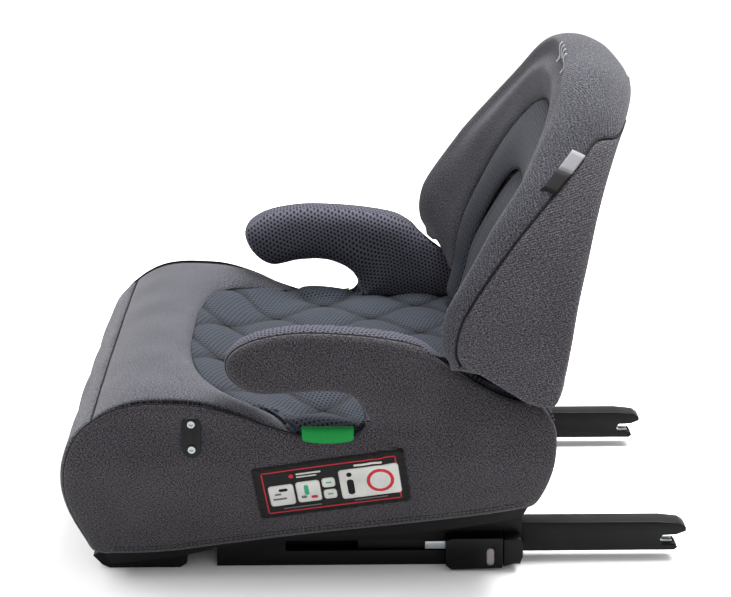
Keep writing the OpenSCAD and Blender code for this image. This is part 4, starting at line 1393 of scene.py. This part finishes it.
@dataclass
class BaseTrim:
    """Rear cover, belt tabs and label that are sewn to the base."""

    sewing: Sewing
    shape: SeatOutline
    half_width: Callable[[Array, Array], Array]
    label_centre: tuple = (-43.0, 101.0)
    label_size: tuple = (132.0, 54.0)
    label_tilt: float = 8.5
    slack: float = 7.5

    def build_rear(self) -> None:
        """Makes the cover of the base's rear face."""
        profile = through([(99, 155), (106, 166), (117, 171), (129, 173), (140, 167), (147.5, 153),
                           (149, 137), (147.5, 118), (142.5, 99), (134, 76), (129, 70)], 3.5)
        share = np.concatenate([np.linspace(-1, -0.9, 8)[:-1], np.linspace(-0.9, 0.9, 60),
                                np.linspace(0.9, 1, 8)[1:]])
        half = self.shape.side_x(np.full(len(profile), 100.0), np.minimum(profile[:, 1], 150)) - 4.0
        x = half[:, None] * share[None]
        y = np.repeat(profile[:, :1], len(share), 1)
        z = np.repeat(profile[:, 1:], len(share), 1)
        points = np.dstack([x, y, z])
        cloth = Cloth.grid(points, np.dstack([x, z - y])).away_from((0, 60, 100))
        reach = grid_reach(points, "lr")
        lumps = ripple(x, z, 90, 1.0) * ease(reach, 5, 30)
        cloth.raised((lumps - edge_drop(reach, 9, 3.0)).ravel()).shell(3.0).piece(
            "rear_cloth", DARK_MELANGE, "base", "dark_melange", ["rear_cover"])

    def build_tabs(self) -> None:
        """Makes the belt tabs, each a tape that sags over the edge of its gap."""
        y = np.linspace(-68, -24, 28)
        sag = 3.6 * np.sqrt(np.maximum(np.cos((y + 46) / 44 * np.pi), 0))
        across = [(188, -3.0, 0), (200, -2.0, 0), (209, 0.5, 0), (214, 3.4, 0.3), (217, 2.8, 0.5),
                  (218.2, 0.5, 0.8), (218.5, -3.5, 1.0), (218.0, -7.5, 1.0)]
        rows = [np.column_stack([np.full(len(y), x), y, 153.8 + rise - sag * hang])
                for x, rise, hang in across]
        cloth = Cloth.grid(np.array(rows)).facing((1, 0, 1)).shell(1.6)
        for side in Side:
            tape = cloth.on(side)
            if side is Side.RIGHT:
                tape.points[:, 2] -= self.slack
            tape.piece(f"{side.word}_belt_tape", GREEN_TAPE, "base", "green_webbing",
                       [f"{side.word}_belt_tab"])

    def on_label(self, spots: Array, lift: float) -> Array:
        """Points on the side cover for places measured along and up the label.

        Args:
            spots: Places from the label's middle.
            lift: Height over the cover.

        Returns:
            Points on the left side cover.
        """
        turn = math.radians(self.label_tilt)
        y = self.label_centre[0] + spots[:, 0] * math.cos(turn) - spots[:, 1] * math.sin(turn)
        z = self.label_centre[1] + spots[:, 0] * math.sin(turn) + spots[:, 1] * math.cos(turn)
        return np.column_stack([self.half_width(y, z) + lift, y, z])

    def patch(self, name: str, outline: Array, lift: float, finish: Finish, thickness: float,
              step: float = 4.0, pucker: float = 0.0, stands_for: Iterable[str] = ()) -> None:
        """Makes a flat patch that lies on the side cover.

        Args:
            name: Name of the piece.
            outline: Closed outline, measured from the label's middle.
            lift: Height of its face over the cover.
            finish: What it is made of.
            thickness: How thick it is.
            step: Spacing of its points.
            pucker: How far its rim rises and falls.
            stands_for: CAD nodes that it is shown in place of.
        """
        rings = (min(1.0, step * 0.3), min(2.4, step * 0.6))
        spots, faces, reach = cut_panel(outline, step, rings)
        wave = pucker * np.sin((spots[:, 0] + spots[:, 1] * 1.3) * 0.55) * (1 - ease(reach, 1, 7))
        points = self.on_label(spots, lift) + np.column_stack([wave - edge_drop(reach, 1.5, 0.5),
                                                               wave * 0, wave * 0])
        cloth = Cloth(points, faces, spots.copy()).facing((1, 0, 0)).shell(thickness)
        slot = "label_textile" if stands_for else ""
        cloth.piece(name, finish, "base", slot, stands_for)

    @staticmethod
    def rounded(centre: Sequence[float], size: Sequence[float], corner: float,
                step: float = 2.0) -> Array:
        """Outline of a rectangle with round corners."""
        w, h = size[0] / 2 - corner, size[1] / 2 - corner
        points = []
        for k, (sx, sy) in enumerate(((1, 1), (-1, 1), (-1, -1), (1, -1))):
            for a in np.radians(np.linspace(90 * k, 90 * k + 90, 5)):
                points.append((centre[0] + sx * w + corner * math.cos(a),
                               centre[1] + sy * h + corner * math.sin(a)))
        run = np.array(points + points[:1])
        return resample(run, step=step, closed=True)

    def frame_strips(self, half: Sequence[float], width: float) -> None:
        """Makes the label's printed frame, one strip on each side."""
        x, y = half
        strips = [((0, y), (2 * x, width)), ((0, -y), (2 * x, width)),
                  ((x, 0), (width, 2 * y)), ((-x, 0), (width, 2 * y))]
        for k, (centre, size) in enumerate(strips):
            outline = self.rounded(centre, size, width * 0.45, 1.5)
            self.patch(f"label_frame_{k + 1}", outline, 2.3, SIGNAL_PRINT, 0.8, 2.5)

    def build_label(self) -> None:
        """Makes the label: black cloth, a thin frame and plain printed shapes."""
        self.patch("label_cloth", self.rounded((0, 0), self.label_size, 2.5, 2.5), 1.5, LABEL_CLOTH,
                   1.2, 4.0, 0.5, ["label_patch"])
        self.frame_strips((58, 21.5), 1.1)
        panels = [((-43.8, -3.5), (22, 22)), ((-20.3, -2.8), (21, 22)), ((-2.1, 4.0), (11.5, 10)),
                  ((-2.1, -8.2), (11.5, 10)), ((33.5, -0.4), (52, 31))]
        for k, (centre, size) in enumerate(panels):
            self.patch(f"label_panel_{k + 1}", self.rounded(centre, size, 2.5), 2.4, PALE_PRINT, 0.9)
        marks = [((-46, -7), (14, 3), 1.4, GREY_PRINT), ((-42, 2), (9, 4), 1.9, BLACK_PRINT),
                 ((-47, -2), (7, 3), 1.4, GREY_PRINT), ((-22, -1), (5, 12), 2.4, TEAL_PRINT),
                 ((-16, -9), (7, 4), 1.9, SIGNAL_PRINT), ((-25, -8), (6, 4), 1.9, GREY_PRINT),
                 ((-2, 4), (7, 2.4), 1.1, TEAL_PRINT), ((-2, -8), (7, 2.4), 1.1, TEAL_PRINT),
                 ((16.5, -3.5), (7, 17), 3.0, BLACK_PRINT), ((16.5, 9.5), (5.6, 5.6), 2.7, BLACK_PRINT),
                 ((26.6, -0.4), (0.8, 27), 0.35, BLACK_PRINT),
                 ((-33, 15.5), (4.4, 4.4), 2.1, SIGNAL_PRINT), ((-18, 16.5), (22, 1.6), 0.7, PALE_PRINT),
                 ((-20, 13.5), (18, 1.2), 0.5, PALE_PRINT), ((34, 18), (25, 2.2), 1.0, PALE_PRINT),
                 ((-28, -18), (34, 1.1), 0.5, GREY_PRINT), ((32, -18.2), (30, 1.1), 0.5, GREY_PRINT),
                 ((42.5, -0.4), (25, 25), 12.3, SIGNAL_PRINT)]
        for k, (centre, size, corner, finish) in enumerate(marks):
            self.patch(f"label_mark_{k + 1}", self.rounded(centre, size, corner, 1.2), 2.65, finish,
                       0.5, 3.0)
        disc = self.rounded((42.5, -0.4), (19, 19), 9.3, 1.2)
        self.patch("label_mark_disc", disc, 2.9, PALE_PRINT, 0.5, 3.0)
        rim = self.rounded((0, 0), (self.label_size[0] - 4, self.label_size[1] - 4), 1.5, 2.0)
        hem = self.on_label(np.vstack([rim, rim[:1]]), 1.9)
        self.sewing.stitches("label_stitches", [hem], "base")

    def build(self) -> None:
        """Makes all of the trim."""
        self.build_rear()
        self.build_tabs()
        self.build_label()


# --------------------------------------------------------------------------- Backrest


@dataclass(frozen=True)
class Station:
    """One line that runs round the backrest, and its depth in front of the back's plane."""

    half_w: float
    shoulder: float
    rise: float
    foot: float
    depth: Callable[[Array], Array]


@dataclass
class Backrest:
    """The winged backrest: bolster, mesh inserts, wing panels, rear cover and tag."""

    sewing: Sewing
    lean: float = 18.0
    origin: tuple = (147.0, 185.0)
    ridge: float = 220.0
    face: float = 52.0
    samples: int = 96
    wing_end: float = 66.0
    seam_eases: tuple = (52.0, 65.5)
    cord_depth: tuple = (2.6, 2.4)
    ridge_line: list = field(default_factory=lambda: [
        (-40, 83), (-4, 92), (8, 102), (22, 108.5), (40, 111.5), (55, 110), (75, 105.5), (112, 96),
        (125, 92), (165, 79), (210, 68), (270, 59)])
    seam_line: list = field(default_factory=lambda: [
        (-10, 84), (7, 91.5), (25, 97), (47, 97), (81, 88.5), (134, 67), (162, 53), (197, 34),
        (211, 27), (241, 3), (275, -12)])
    rear_line: list = field(default_factory=lambda: [
        (-20, -8), (25, -3), (77, 5), (114, 7.5), (149, 9), (181, 7.5), (215, 2), (245, -6), (275, -12)])

    def place(self, x: Array, t: Array, n: Array) -> Array:
        """Points of the seat for places on the back.

        Args:
            x: Distance from the middle.
            t: Height up the lean.
            n: Depth in front of the back's plane.

        Returns:
            Points, with the coordinates along the last axis.
        """
        s, c = math.sin(math.radians(self.lean)), math.cos(math.radians(self.lean))
        y = self.origin[0] + t * s - n * c
        z = self.origin[1] + t * c + n * s
        return np.stack(np.broadcast_arrays(x, y, z), -1)

    def ridge_depth(self, t: Array) -> Array:
        """Depth of the wings' ridge."""
        return level(t, self.ridge_line)

    def seam_depth(self, t: Array) -> Array:
        """Depth of the seam between the bolster and a wing panel."""
        return level(t, self.seam_line)

    def rear_depth(self, t: Array) -> Array:
        """Depth of the rear cover at its edge."""
        return level(t, self.rear_line)

    def bowl(self, half: float, t: Array) -> Array:
        """Depth of the padding's face at a half width."""
        face = self.face - 5 * ease(t, 130, 210)
        return face + (self.ridge_depth(t) - face) * (np.abs(half) / self.ridge) ** 3.2

    def shares(self) -> tuple[Array, Array]:
        """Even samples of a line's half: share of its straight foot, and its turn after it."""
        turn = np.linspace(0, np.pi / 2, 600)
        run = np.column_stack([210 * np.cos(turn) ** 0.84, 200 * np.sin(turn) ** 1.43])
        length = np.concatenate([[0], np.cumsum(np.linalg.norm(np.diff(run, axis=0), axis=1))])
        straight = 16
        even = np.interp(np.linspace(0, length[-1], self.samples - straight), length, turn)
        foot = np.concatenate([np.linspace(0, 1, straight, endpoint=False), np.ones(len(even))])
        return foot, np.concatenate([np.zeros(straight), even])

    def half_line(self, station: Station) -> Array:
        """Half of a station's line as (x, t, n) rows, from its foot to the top."""
        foot, turn = self.shares()
        x = station.half_w * np.cos(turn) ** 0.84
        t = station.shoulder + station.rise * np.sin(turn) ** 1.43
        t = station.foot + (t - station.foot) * foot
        x[-1] = 0
        return np.column_stack([x, t, station.depth(t)])

    def across(self, lines: Array, share: Array) -> Array:
        """Reads a smooth section through stations at a share of its way.

        Args:
            lines: Stations by samples by 3.
            share: Rows by samples, from 0 at the first station to 1 at the last.

        Returns:
            Rows by samples by 3.
        """
        count = len(lines)
        knots = np.concatenate([[2 * lines[0] - lines[1]], lines, [2 * lines[-1] - lines[-2]]])
        place = np.clip(share * (count - 1), 0, count - 1.000001)
        cell = place.astype(int)
        s = (place - cell)[..., None]
        columns = np.arange(lines.shape[1])[None]
        a, b, c, d = (knots[cell + k, columns] for k in range(4))
        return 0.5 * (2 * b + (c - a) * s + (2 * a - 5 * b + 4 * c - d) * s**2
                      + (3 * b - a - 3 * c + d) * s**3)

    def both(self, half: Array) -> Array:
        """A half of the back as one run over the top to the other foot."""
        other = half[:, -2::-1] * np.array([-1, 1, 1])
        return np.concatenate([half, other], axis=1)

    def stations(self) -> list[Station]:
        """Lines from the insert's seam over the ridge and round to the rear seam."""
        ridge, rear = self.ridge_depth, self.rear_depth
        return [
            Station(155, 44, 157, -20, lambda t: self.bowl(155, t)),
            Station(173, 45, 170.5, -11, lambda t: self.bowl(173, t) + 3),
            Station(191, 46, 184, -3, lambda t: self.bowl(191, t) + 5),
            Station(207, 47, 197.5, -7, lambda t: ridge(t) - 5),
            Station(219, 48, 209, -5, lambda t: ridge(t) + 0.5),
            Station(226.5, 49.5, 215, 0, lambda t: ridge(t) - 7),
            Station(230, 50, 218, 4, lambda t: ridge(t) - 20),
            Station(231, 50, 216, -4, lambda t: 0.55 * (ridge(t) - 20) + 0.45 * (rear(t) + 14)),
            Station(230.5, 50, 212, -9, lambda t: 0.25 * (ridge(t) - 20) + 0.75 * (rear(t) + 14)),
            Station(228.5, 50, 205.5, -8, lambda t: rear(t) + 10),
            Station(223.5, 50, 200, 1, lambda t: rear(t) + 3),
            Station(214, 50, 197.5, 12, lambda t: rear(t) + 0.3),
        ]

    def split(self, lines: Array) -> Array:
        """Share of the section at which the side seam lies, for each sample."""
        shares = np.linspace(0.47, 1, 260)
        section = self.across(lines, shares[:, None] * np.ones((1, lines.shape[1])))
        behind = section[..., 2] <= self.seam_depth(section[..., 1])
        behind[-1] = True
        found = shares[np.argmax(behind, 0)]
        wide = np.pad(found, 6, mode="edge")
        smooth = np.mean([wide[k:k + len(found)] for k in range(13)], axis=0)
        return smooth + (1 - smooth) * ease(np.degrees(self.shares()[1]), *self.seam_eases)

    def build_bolster(self, lines: Array, split: Array) -> None:
        """Makes the bolster, one cloth round the front, the top and the upper rear."""
        share = np.concatenate([[0, 0.01, 0.03, 0.06, 0.1], np.linspace(0.15, 0.93, 34),
                                [0.955, 0.975, 0.99, 1]])[:, None] * split[None]
        flat = self.both(self.across(lines, share))
        points = self.placed(flat)
        reach = grid_reach(points, "az")
        cloth = Cloth.grid(points).away_from(self.heart())
        height = ripple(flat[..., 0], flat[..., 1] + flat[..., 2], 96, 1.2) * ease(reach, 4, 26)
        height = height - edge_drop(reach, 9, 3.4)
        cloth.raised(height.ravel())
        self.build_mark(cloth, points.shape)
        cloth.shell(3.5).piece(
            "bolster_cloth", BACK_MELANGE, "backrest", "light_melange", ["backrest_bolster"], fill=0.75)
        inner = self.both(self.across(lines, np.zeros((1, lines.shape[1]))))[0]
        line = self.placed(inner - [0, 0, self.cord_depth[0]])
        self.sewing.cords("outer_insert_seam", [line], "backrest", 0.9)

    def placed(self, rows: Array) -> Array:
        """Points on the seat for rows of (x, t, n) on the back."""
        return self.place(rows[..., 0], rows[..., 1], rows[..., 2])

    def heart(self) -> Array:
        """A point inside the backrest's padding."""
        return self.place(np.array(0.0), np.array(110.0), np.array(22.0))

    def build_wings(self, lines: Array, split: Array) -> None:
        """Makes the wing panels, from the side seam round the rear corner."""
        turn = self.shares()[1]
        last = int(np.argmax(turn > math.radians(self.wing_end)))
        share = split[None, :last] + (1 - split[None, :last]) * np.linspace(0, 1, 34)[:, None]
        flat = self.across(lines[:, :last], share)
        points = self.placed(flat)
        reach = grid_reach(points, "az")
        width = reach.max(0)[None]
        soft = np.minimum(9, np.maximum(width, 1))
        inward = 1 - np.clip(reach / soft, 0, 1)
        fall = 3.2 * (1 - np.sqrt(1 - inward ** 2)) * np.clip(width / 9, 0, 1)
        wave = ripple(flat[..., 1], flat[..., 2], 70, 0.9) * ease(reach, 4, 20)
        swell = 2.2 * ease(reach, 5, 34) + wave
        cloth = Cloth.grid(points, np.stack([flat[..., 2], flat[..., 1]], -1))
        cloth = cloth.away_from(self.heart())
        cloth = cloth.raised((swell - fall).ravel()).shell(3.0)
        edge = flat[0]
        depth = edge.copy()
        depth[:, 0] -= 2.2
        line = self.placed(depth)
        for side in Side:
            name = side.word
            cloth.on(side).piece(f"{name}_wing_cloth", WING_MELANGE, "backrest", "dark_melange",
                                 [f"{name}_wing_panel"], fill=0.7)
            self.sewing.cords(f"{name}_wing_seam", [line * [side.value, 1, 1]], "backrest", 0.9)

    def build_inserts(self) -> None:
        """Makes the two mesh inserts, an arch inside an arched ring."""
        ring = [Station(118.5, 20, 111.5, -42, lambda t: self.bowl(118, t)),
                Station(137, 32, 134, -39, lambda t: self.bowl(137, t)),
                Station(154.5, 44, 156.5, -36, lambda t: self.bowl(155, t))]
        lines = np.array([self.half_line(s) for s in ring])
        share = np.concatenate([[0, 0.02, 0.06, 0.12], np.linspace(0.2, 0.8, 11), [0.88, 0.94, 0.98, 1]])
        flat = self.both(self.across(lines, share[:, None] * np.ones((1, self.samples))))
        points = self.placed(flat)
        reach = grid_reach(points, "az")
        height = 3.2 * np.sin(np.pi * share)[:, None] - edge_drop(reach, 8, 3.0)
        cloth = Cloth.grid(points, flat[..., :2]).away_from(self.heart())
        cloth.raised(height.ravel()).shell(3.0).piece(
            "outer_mesh_insert", INSERT_MESH, "backrest", "insert_mesh", ["outer_insert"], fill=0.6)
        edge = self.half_line(Station(118, 20, 111, -42, lambda t: self.bowl(118, t)))
        across = np.linspace(-1, 1, 61)
        rise = edge[:-1, 1][:, None] * np.ones((1, 61))
        x = edge[:-1, :1] * across[None]
        n = self.bowl(x, rise)
        points = self.place(x, rise, n)
        gap = edge_distance(np.column_stack([x.ravel(), rise.ravel()]),
                            np.vstack([edge[:, :2], edge[-2::-1, :2] * [-1, 1]])).reshape(x.shape)
        cloth = Cloth.grid(points, np.dstack([x, rise])).away_from(self.heart())
        height = 3.0 * ease(gap, 2, 40) - edge_drop(gap, 8, 3.0)
        cloth.raised(height.ravel()).shell(3.0).piece(
            "inner_mesh_insert", INSERT_MESH, "backrest", "insert_mesh", ["inner_insert"], fill=0.6)
        run = np.vstack([edge, edge[-2::-1] * [-1, 1, 1]])
        line = self.placed(run - [0, 0, self.cord_depth[1]])
        self.sewing.cords("inner_insert_seam", [line], "backrest", 0.9)

    def build_rear(self, lines: Array) -> None:
        """Makes the rear cover and the strip that closes the back's underside."""
        rear = lines[-1]
        across = np.concatenate([np.linspace(-1, -0.93, 6)[:-1], np.linspace(-0.93, 0.93, 50),
                                 np.linspace(0.93, 1, 6)[1:]])
        foot = -2 + 14 * np.abs(across) ** 6
        edge = rear[:-1]
        lift = np.clip((62 - edge[:, 1]) / (62 - edge[0, 1]), 0, 1)[:, None]
        t = edge[:, 1:2] + lift * (foot - edge[0, 1])[None]
        x = edge[:, :1] * across[None]
        crown = 5 * across[None] ** 2 - 5
        n = self.rear_depth(t) + crown * ease(268 - t, 0, 60)
        points = self.place(x, t, n)
        gap = grid_reach(points, "lr")
        cloth = Cloth.grid(points, np.dstack([x, t])).facing((0, 1, -0.3))
        height = ripple(x, t, 92, 1.0) * ease(gap, 5, 30) - edge_drop(gap, 8, 2.6)
        cloth.raised(height.ravel()).shell(3.0).piece(
            "backrest_rear_cloth", WING_MELANGE, "backrest", "dark_melange", ["backrest_rear_cover"])
        self.build_underside(lines, np.column_stack([x[0], t[0], n[0]]))

    def build_underside(self, lines: Array, rear_foot: Array) -> None:
        """Makes the strip under the back, between the front's feet and the rear's."""
        middle = len(rear_foot) // 2
        rear = rear_foot[middle:]
        shares = np.linspace(0, 1, 60)[:, None] * np.ones((1, lines.shape[1]))
        wrap = self.across(lines, shares)[:, 0]
        insert = np.array([(f * 154, -42 + 22 * (f > 0.99), self.bowl(f * 154, np.array(-40.0)) - 1)
                           for f in np.linspace(0, 1, 30)])
        turn = 44
        front = resample(np.vstack([insert, wrap[:turn]]), count=70)
        back = resample(np.vstack([rear, wrap[:turn - 1:-1]]), count=70)
        share = np.linspace(0, 1, 14)[:, None, None]
        strip = front[None] * (1 - share) + back[None] * share
        strip[..., 1] -= 3.0 * np.sin(np.pi * share[..., 0]) - 1.0
        points = self.placed(strip)
        full = np.concatenate([points[:, :0:-1] * [-1, 1, 1], points], axis=1)
        cloth = Cloth.grid(full).facing((0, 0, -1)).shell(2.0)
        cloth.piece("backrest_underside_cloth", DARK_MELANGE, "backrest", "dark_melange")

    def build_tag(self, lines: Array, split: Array) -> None:
        """Makes the folded tag that is caught in the left side seam."""
        seam = self.across(lines, split[None])[0]
        section = self.across(lines, split[None] - np.linspace(0, 0.14, 40)[:, None])
        run = self.placed(section)
        length = np.cumsum(np.linalg.norm(np.diff(run, axis=0, prepend=run[:1]), axis=2), 0)
        reach = np.linspace(0, 12.5, 9)
        for name, start, end, finish, stood in (("seam_tag_grey", 175, 196, TAG_CLOTH, ["seam_tag"]),
                                                ("seam_tag_black", 156, 178, TAG_BLACK, [])):
            columns = np.flatnonzero((seam[:, 1] >= start) & (seam[:, 1] <= end))
            rows = [[np.interp(reach, length[:, c], run[:, c, k]) for k in range(3)] for c in columns]
            cloth = Cloth.grid(np.array(rows).transpose(2, 0, 1)).away_from(self.heart())
            cloth.raised(0.8).shell(1.1).piece(name, finish, "backrest", "tag_textile", stood)

    def build_mark(self, cloth: Cloth, size: tuple) -> None:
        """Sews a plain row of bars at the top of the bolster.

        Args:
            cloth: The bolster's outer face.
            size: Rows, columns and 3, as the face's points are laid out.
        """
        lifted = (cloth.points + cloth.normals() * 0.5).reshape(size)
        middle = size[1] // 2
        bars = [lifted[first:last, middle - 2 - 3 * k] for k, (first, last) in enumerate(
            ((9, 16), (11, 16), (11, 16), (9, 16)))]
        self.sewing.cords("bolster_bars", bars, "backrest", 0.9, PALE_THREAD)

    def build(self) -> None:
        """Makes the whole backrest."""
        lines = np.array([self.half_line(s) for s in self.stations()])
        split = self.split(lines)
        self.build_bolster(lines, split)
        self.build_wings(lines, split)
        self.build_inserts()
        self.build_rear(lines)
        self.build_tag(lines, split)


# --------------------------------------------------------------- Moulded and metal parts


@dataclass
class Hardware:
    """Moulded and pressed parts, each broken along its edges as the real one is."""

    foam_edge: float = 3.0
    sharp_from: float = 38.0
    bevel_from: float = 35.0
    edges: dict = field(default_factory=lambda: {
        "sheath": (1.6, ARM_PLASTIC, "arm_plastic", "arm"),
        "latch_housing": (1.3, HOUSING_PLASTIC, "housing_plastic", "arm"),
        "release_button": (1.5, HOUSING_PLASTIC, "housing_plastic", "latch"),
        "steel_core": (0.5, ZINC_STEEL, "zinc_steel", "arm"),
        "slot_strap": (0.5, ZINC_STEEL, "zinc_steel", "arm"),
        "hook": (0.6, ZINC_STEEL, "zinc_steel", "hook"),
        "rail": (1.2, RAIL_PLASTIC, "rail_plastic", "base"),
        "socket_plate": (1.1, SOCKET_PLASTIC, "socket_plastic", "base"),
        "plate_screws": (0.25, BRIGHT_STEEL, "screw_steel", "base"),
        "hinge_bracket": (0.5, ZINC_STEEL, "zinc_steel", "base"),
        "back_bracket": (0.5, ZINC_STEEL, "zinc_steel", "backrest"),
        "armrest_core": (2.0, INNER_PLASTIC, "inner_plastic", "base"),
    })

    @staticmethod
    def broken_edges(node: str, name: str, width: float) -> bpy.types.Object:
        """Copy of a CAD node with its edges rounded.

        Args:
            node: The node.
            name: Name of the copy.
            width: Width of the rounding, in millimetres.

        Returns:
            The copy, not yet riding on anything.
        """
        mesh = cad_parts[node].data.copy()
        work = bmesh.new()
        work.from_mesh(mesh)
        bmesh.ops.remove_doubles(work, verts=work.verts, dist=2e-6)
        bmesh.ops.dissolve_limit(work, angle_limit=math.radians(2), verts=work.verts,
                                 edges=work.edges)
        work.to_mesh(mesh)
        work.free()
        mesh.name = name
        obj = bpy.data.objects.new(name, mesh)
        bpy.context.scene.collection.objects.link(obj)
        bevel = obj.modifiers.new("Edges", "BEVEL")
        bevel.width = width * MM
        bevel.segments = 3
        bevel.limit_method = "ANGLE"
        bevel.angle_limit = math.radians(Hardware.bevel_from)
        bevel.harden_normals = False
        seen = obj.evaluated_get(bpy.context.evaluated_depsgraph_get())
        made = bpy.data.meshes.new_from_object(seen)
        obj.modifiers.clear()
        obj.data = made
        made.polygons.foreach_set("use_smooth", [True] * len(made.polygons))
        made.set_sharp_from_angle(angle=math.radians(Hardware.sharp_from))
        made.name = name
        return obj

    def build(self) -> None:
        """Makes the moulded parts, and gives every CAD node left showing its finish."""
        for side in Side:
            for node, (width, finish, slot, body) in self.edges.items():
                owner = body if body in ("base", "backrest") else f"{side.word}_{body}"
                full = f"{side.word}_{node}"
                obj = self.broken_edges(full, full + "_part", width)
                settle(obj, finish, owner, [full])
        for node, body in (("seat_foam", "base"), ("backrest_foam", "backrest")):
            obj = self.broken_edges(node, node + "_block", self.foam_edge)
            settle(obj, FOAM, body, [node])
        shown = {"base_shell": SHELL_PLASTIC, "rail_screws": BRIGHT_STEEL,
                 "backrest_board": INNER_PLASTIC}
        for side in Side:
            shown.update({f"{side.word}_hinge_pin": ZINC_STEEL, f"{side.word}_hook_pin": ZINC_STEEL,
                          f"{side.word}_window_lens": WINDOW, f"{side.word}_pull_rod": ZINC_STEEL,
                          f"{side.word}_indicator_flag": RED_PLASTIC})
        for node, finish in shown.items():
            mesh_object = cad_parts[node]
            mesh_object.data.materials.clear()
            mesh_object.data.materials.append(finish.material())
            LOG.info("%s is in %s", node, finish.name)


# ----------------------------------------------------------------------------- Studio


@dataclass
class Studio:
    """Pale floor, soft lights and the camera."""

    eye: tuple = (1.75076, -0.04061, 0.74958)
    ahead: tuple = (-0.95462, 0.01666, -0.29737)
    lens: float = 95.0
    lit_point: tuple = (0.0, 0.0, 0.15)
    floor_reach: float = 9.0
    floor_drop: float = 0.0004

    def build_floor(self) -> None:
        """Makes a pale floor that runs out of sight."""
        mesh = bpy.data.meshes.new("studio_floor")
        corners = [(x * self.floor_reach, y * self.floor_reach, 0)
                   for x, y in ((-1, -1), (1, -1), (1, 1), (-1, 1))]
        mesh.from_pydata(corners, [], [(0, 1, 2, 3)])
        mesh.transform(Matrix.Translation((0, 0, -self.floor_drop)))
        floor = bpy.data.objects.new("studio_floor", mesh)
        bpy.context.scene.collection.objects.link(floor)
        paint = bpy.data.materials.new("matt_white_paint")
        paint.use_nodes = True
        shader = paint.node_tree.nodes["Principled BSDF"]
        plain(shader, {"Base Color": to_linear("#f7f7f7"), "Roughness": 0.9})
        mesh.materials.append(paint)

    def build_lights(self) -> None:
        """Hangs the soft lights and lights the world evenly."""
        for name, place, size, power in (("key", (0.2, -1.7, 2.1), 1.6, 34.0),
                                         ("top", (-0.25, 0.5, 1.6), 1.0, 75.0),
                                         ("near", (2.6, 0.7, 1.1), 1.8, 4.0)):
            lamp = bpy.data.lights.new(name, "AREA")
            lamp.size = size
            lamp.energy = power
            light = bpy.data.objects.new(name, lamp)
            bpy.context.scene.collection.objects.link(light)
            light.location = place
            towards = Vector(self.lit_point) - light.location
            light.rotation_euler = towards.to_track_quat("-Z", "Y").to_euler()
        world = bpy.data.worlds.new("studio")
        bpy.context.scene.world = world
        world.use_nodes = True
        back = world.node_tree.nodes["Background"]
        back.inputs[0].default_value = (1, 1, 1, 1)
        back.inputs[1].default_value = 1.0

    def build_camera(self) -> None:
        """Sets the camera at the viewing place."""
        data = bpy.data.cameras.new("view")
        data.lens = self.lens
        data.sensor_width = 36.0
        data.sensor_fit = "HORIZONTAL"
        data.clip_start = 0.05
        camera = bpy.data.objects.new("view", data)
        bpy.context.scene.collection.objects.link(camera)
        camera.location = self.eye
        camera.rotation_euler = Vector(self.ahead).to_track_quat("-Z", "Y").to_euler()
        bpy.context.scene.camera = camera

    def build(self) -> None:
        """Makes the studio."""
        self.build_floor()
        self.build_lights()
        self.build_camera()
        bpy.context.scene.view_settings.view_transform = "Standard"


def main() -> None:
    """Builds the seat's looks in order."""
    logging.basicConfig(level=logging.INFO, format="%(message)s")
    Studio().build()
    sewing = Sewing()
    shape = SeatOutline()
    half_width = SideCovers(shape, sewing).build()
    Armrests(shape).build()
    nose = NoseCover(shape, sewing)
    nose.build()
    SeatPad(nose).build(sewing)
    BaseTrim(sewing, shape, half_width).build()
    Backrest(sewing).build()
    Hardware().build()


if __name__ == "__main__":
    main()
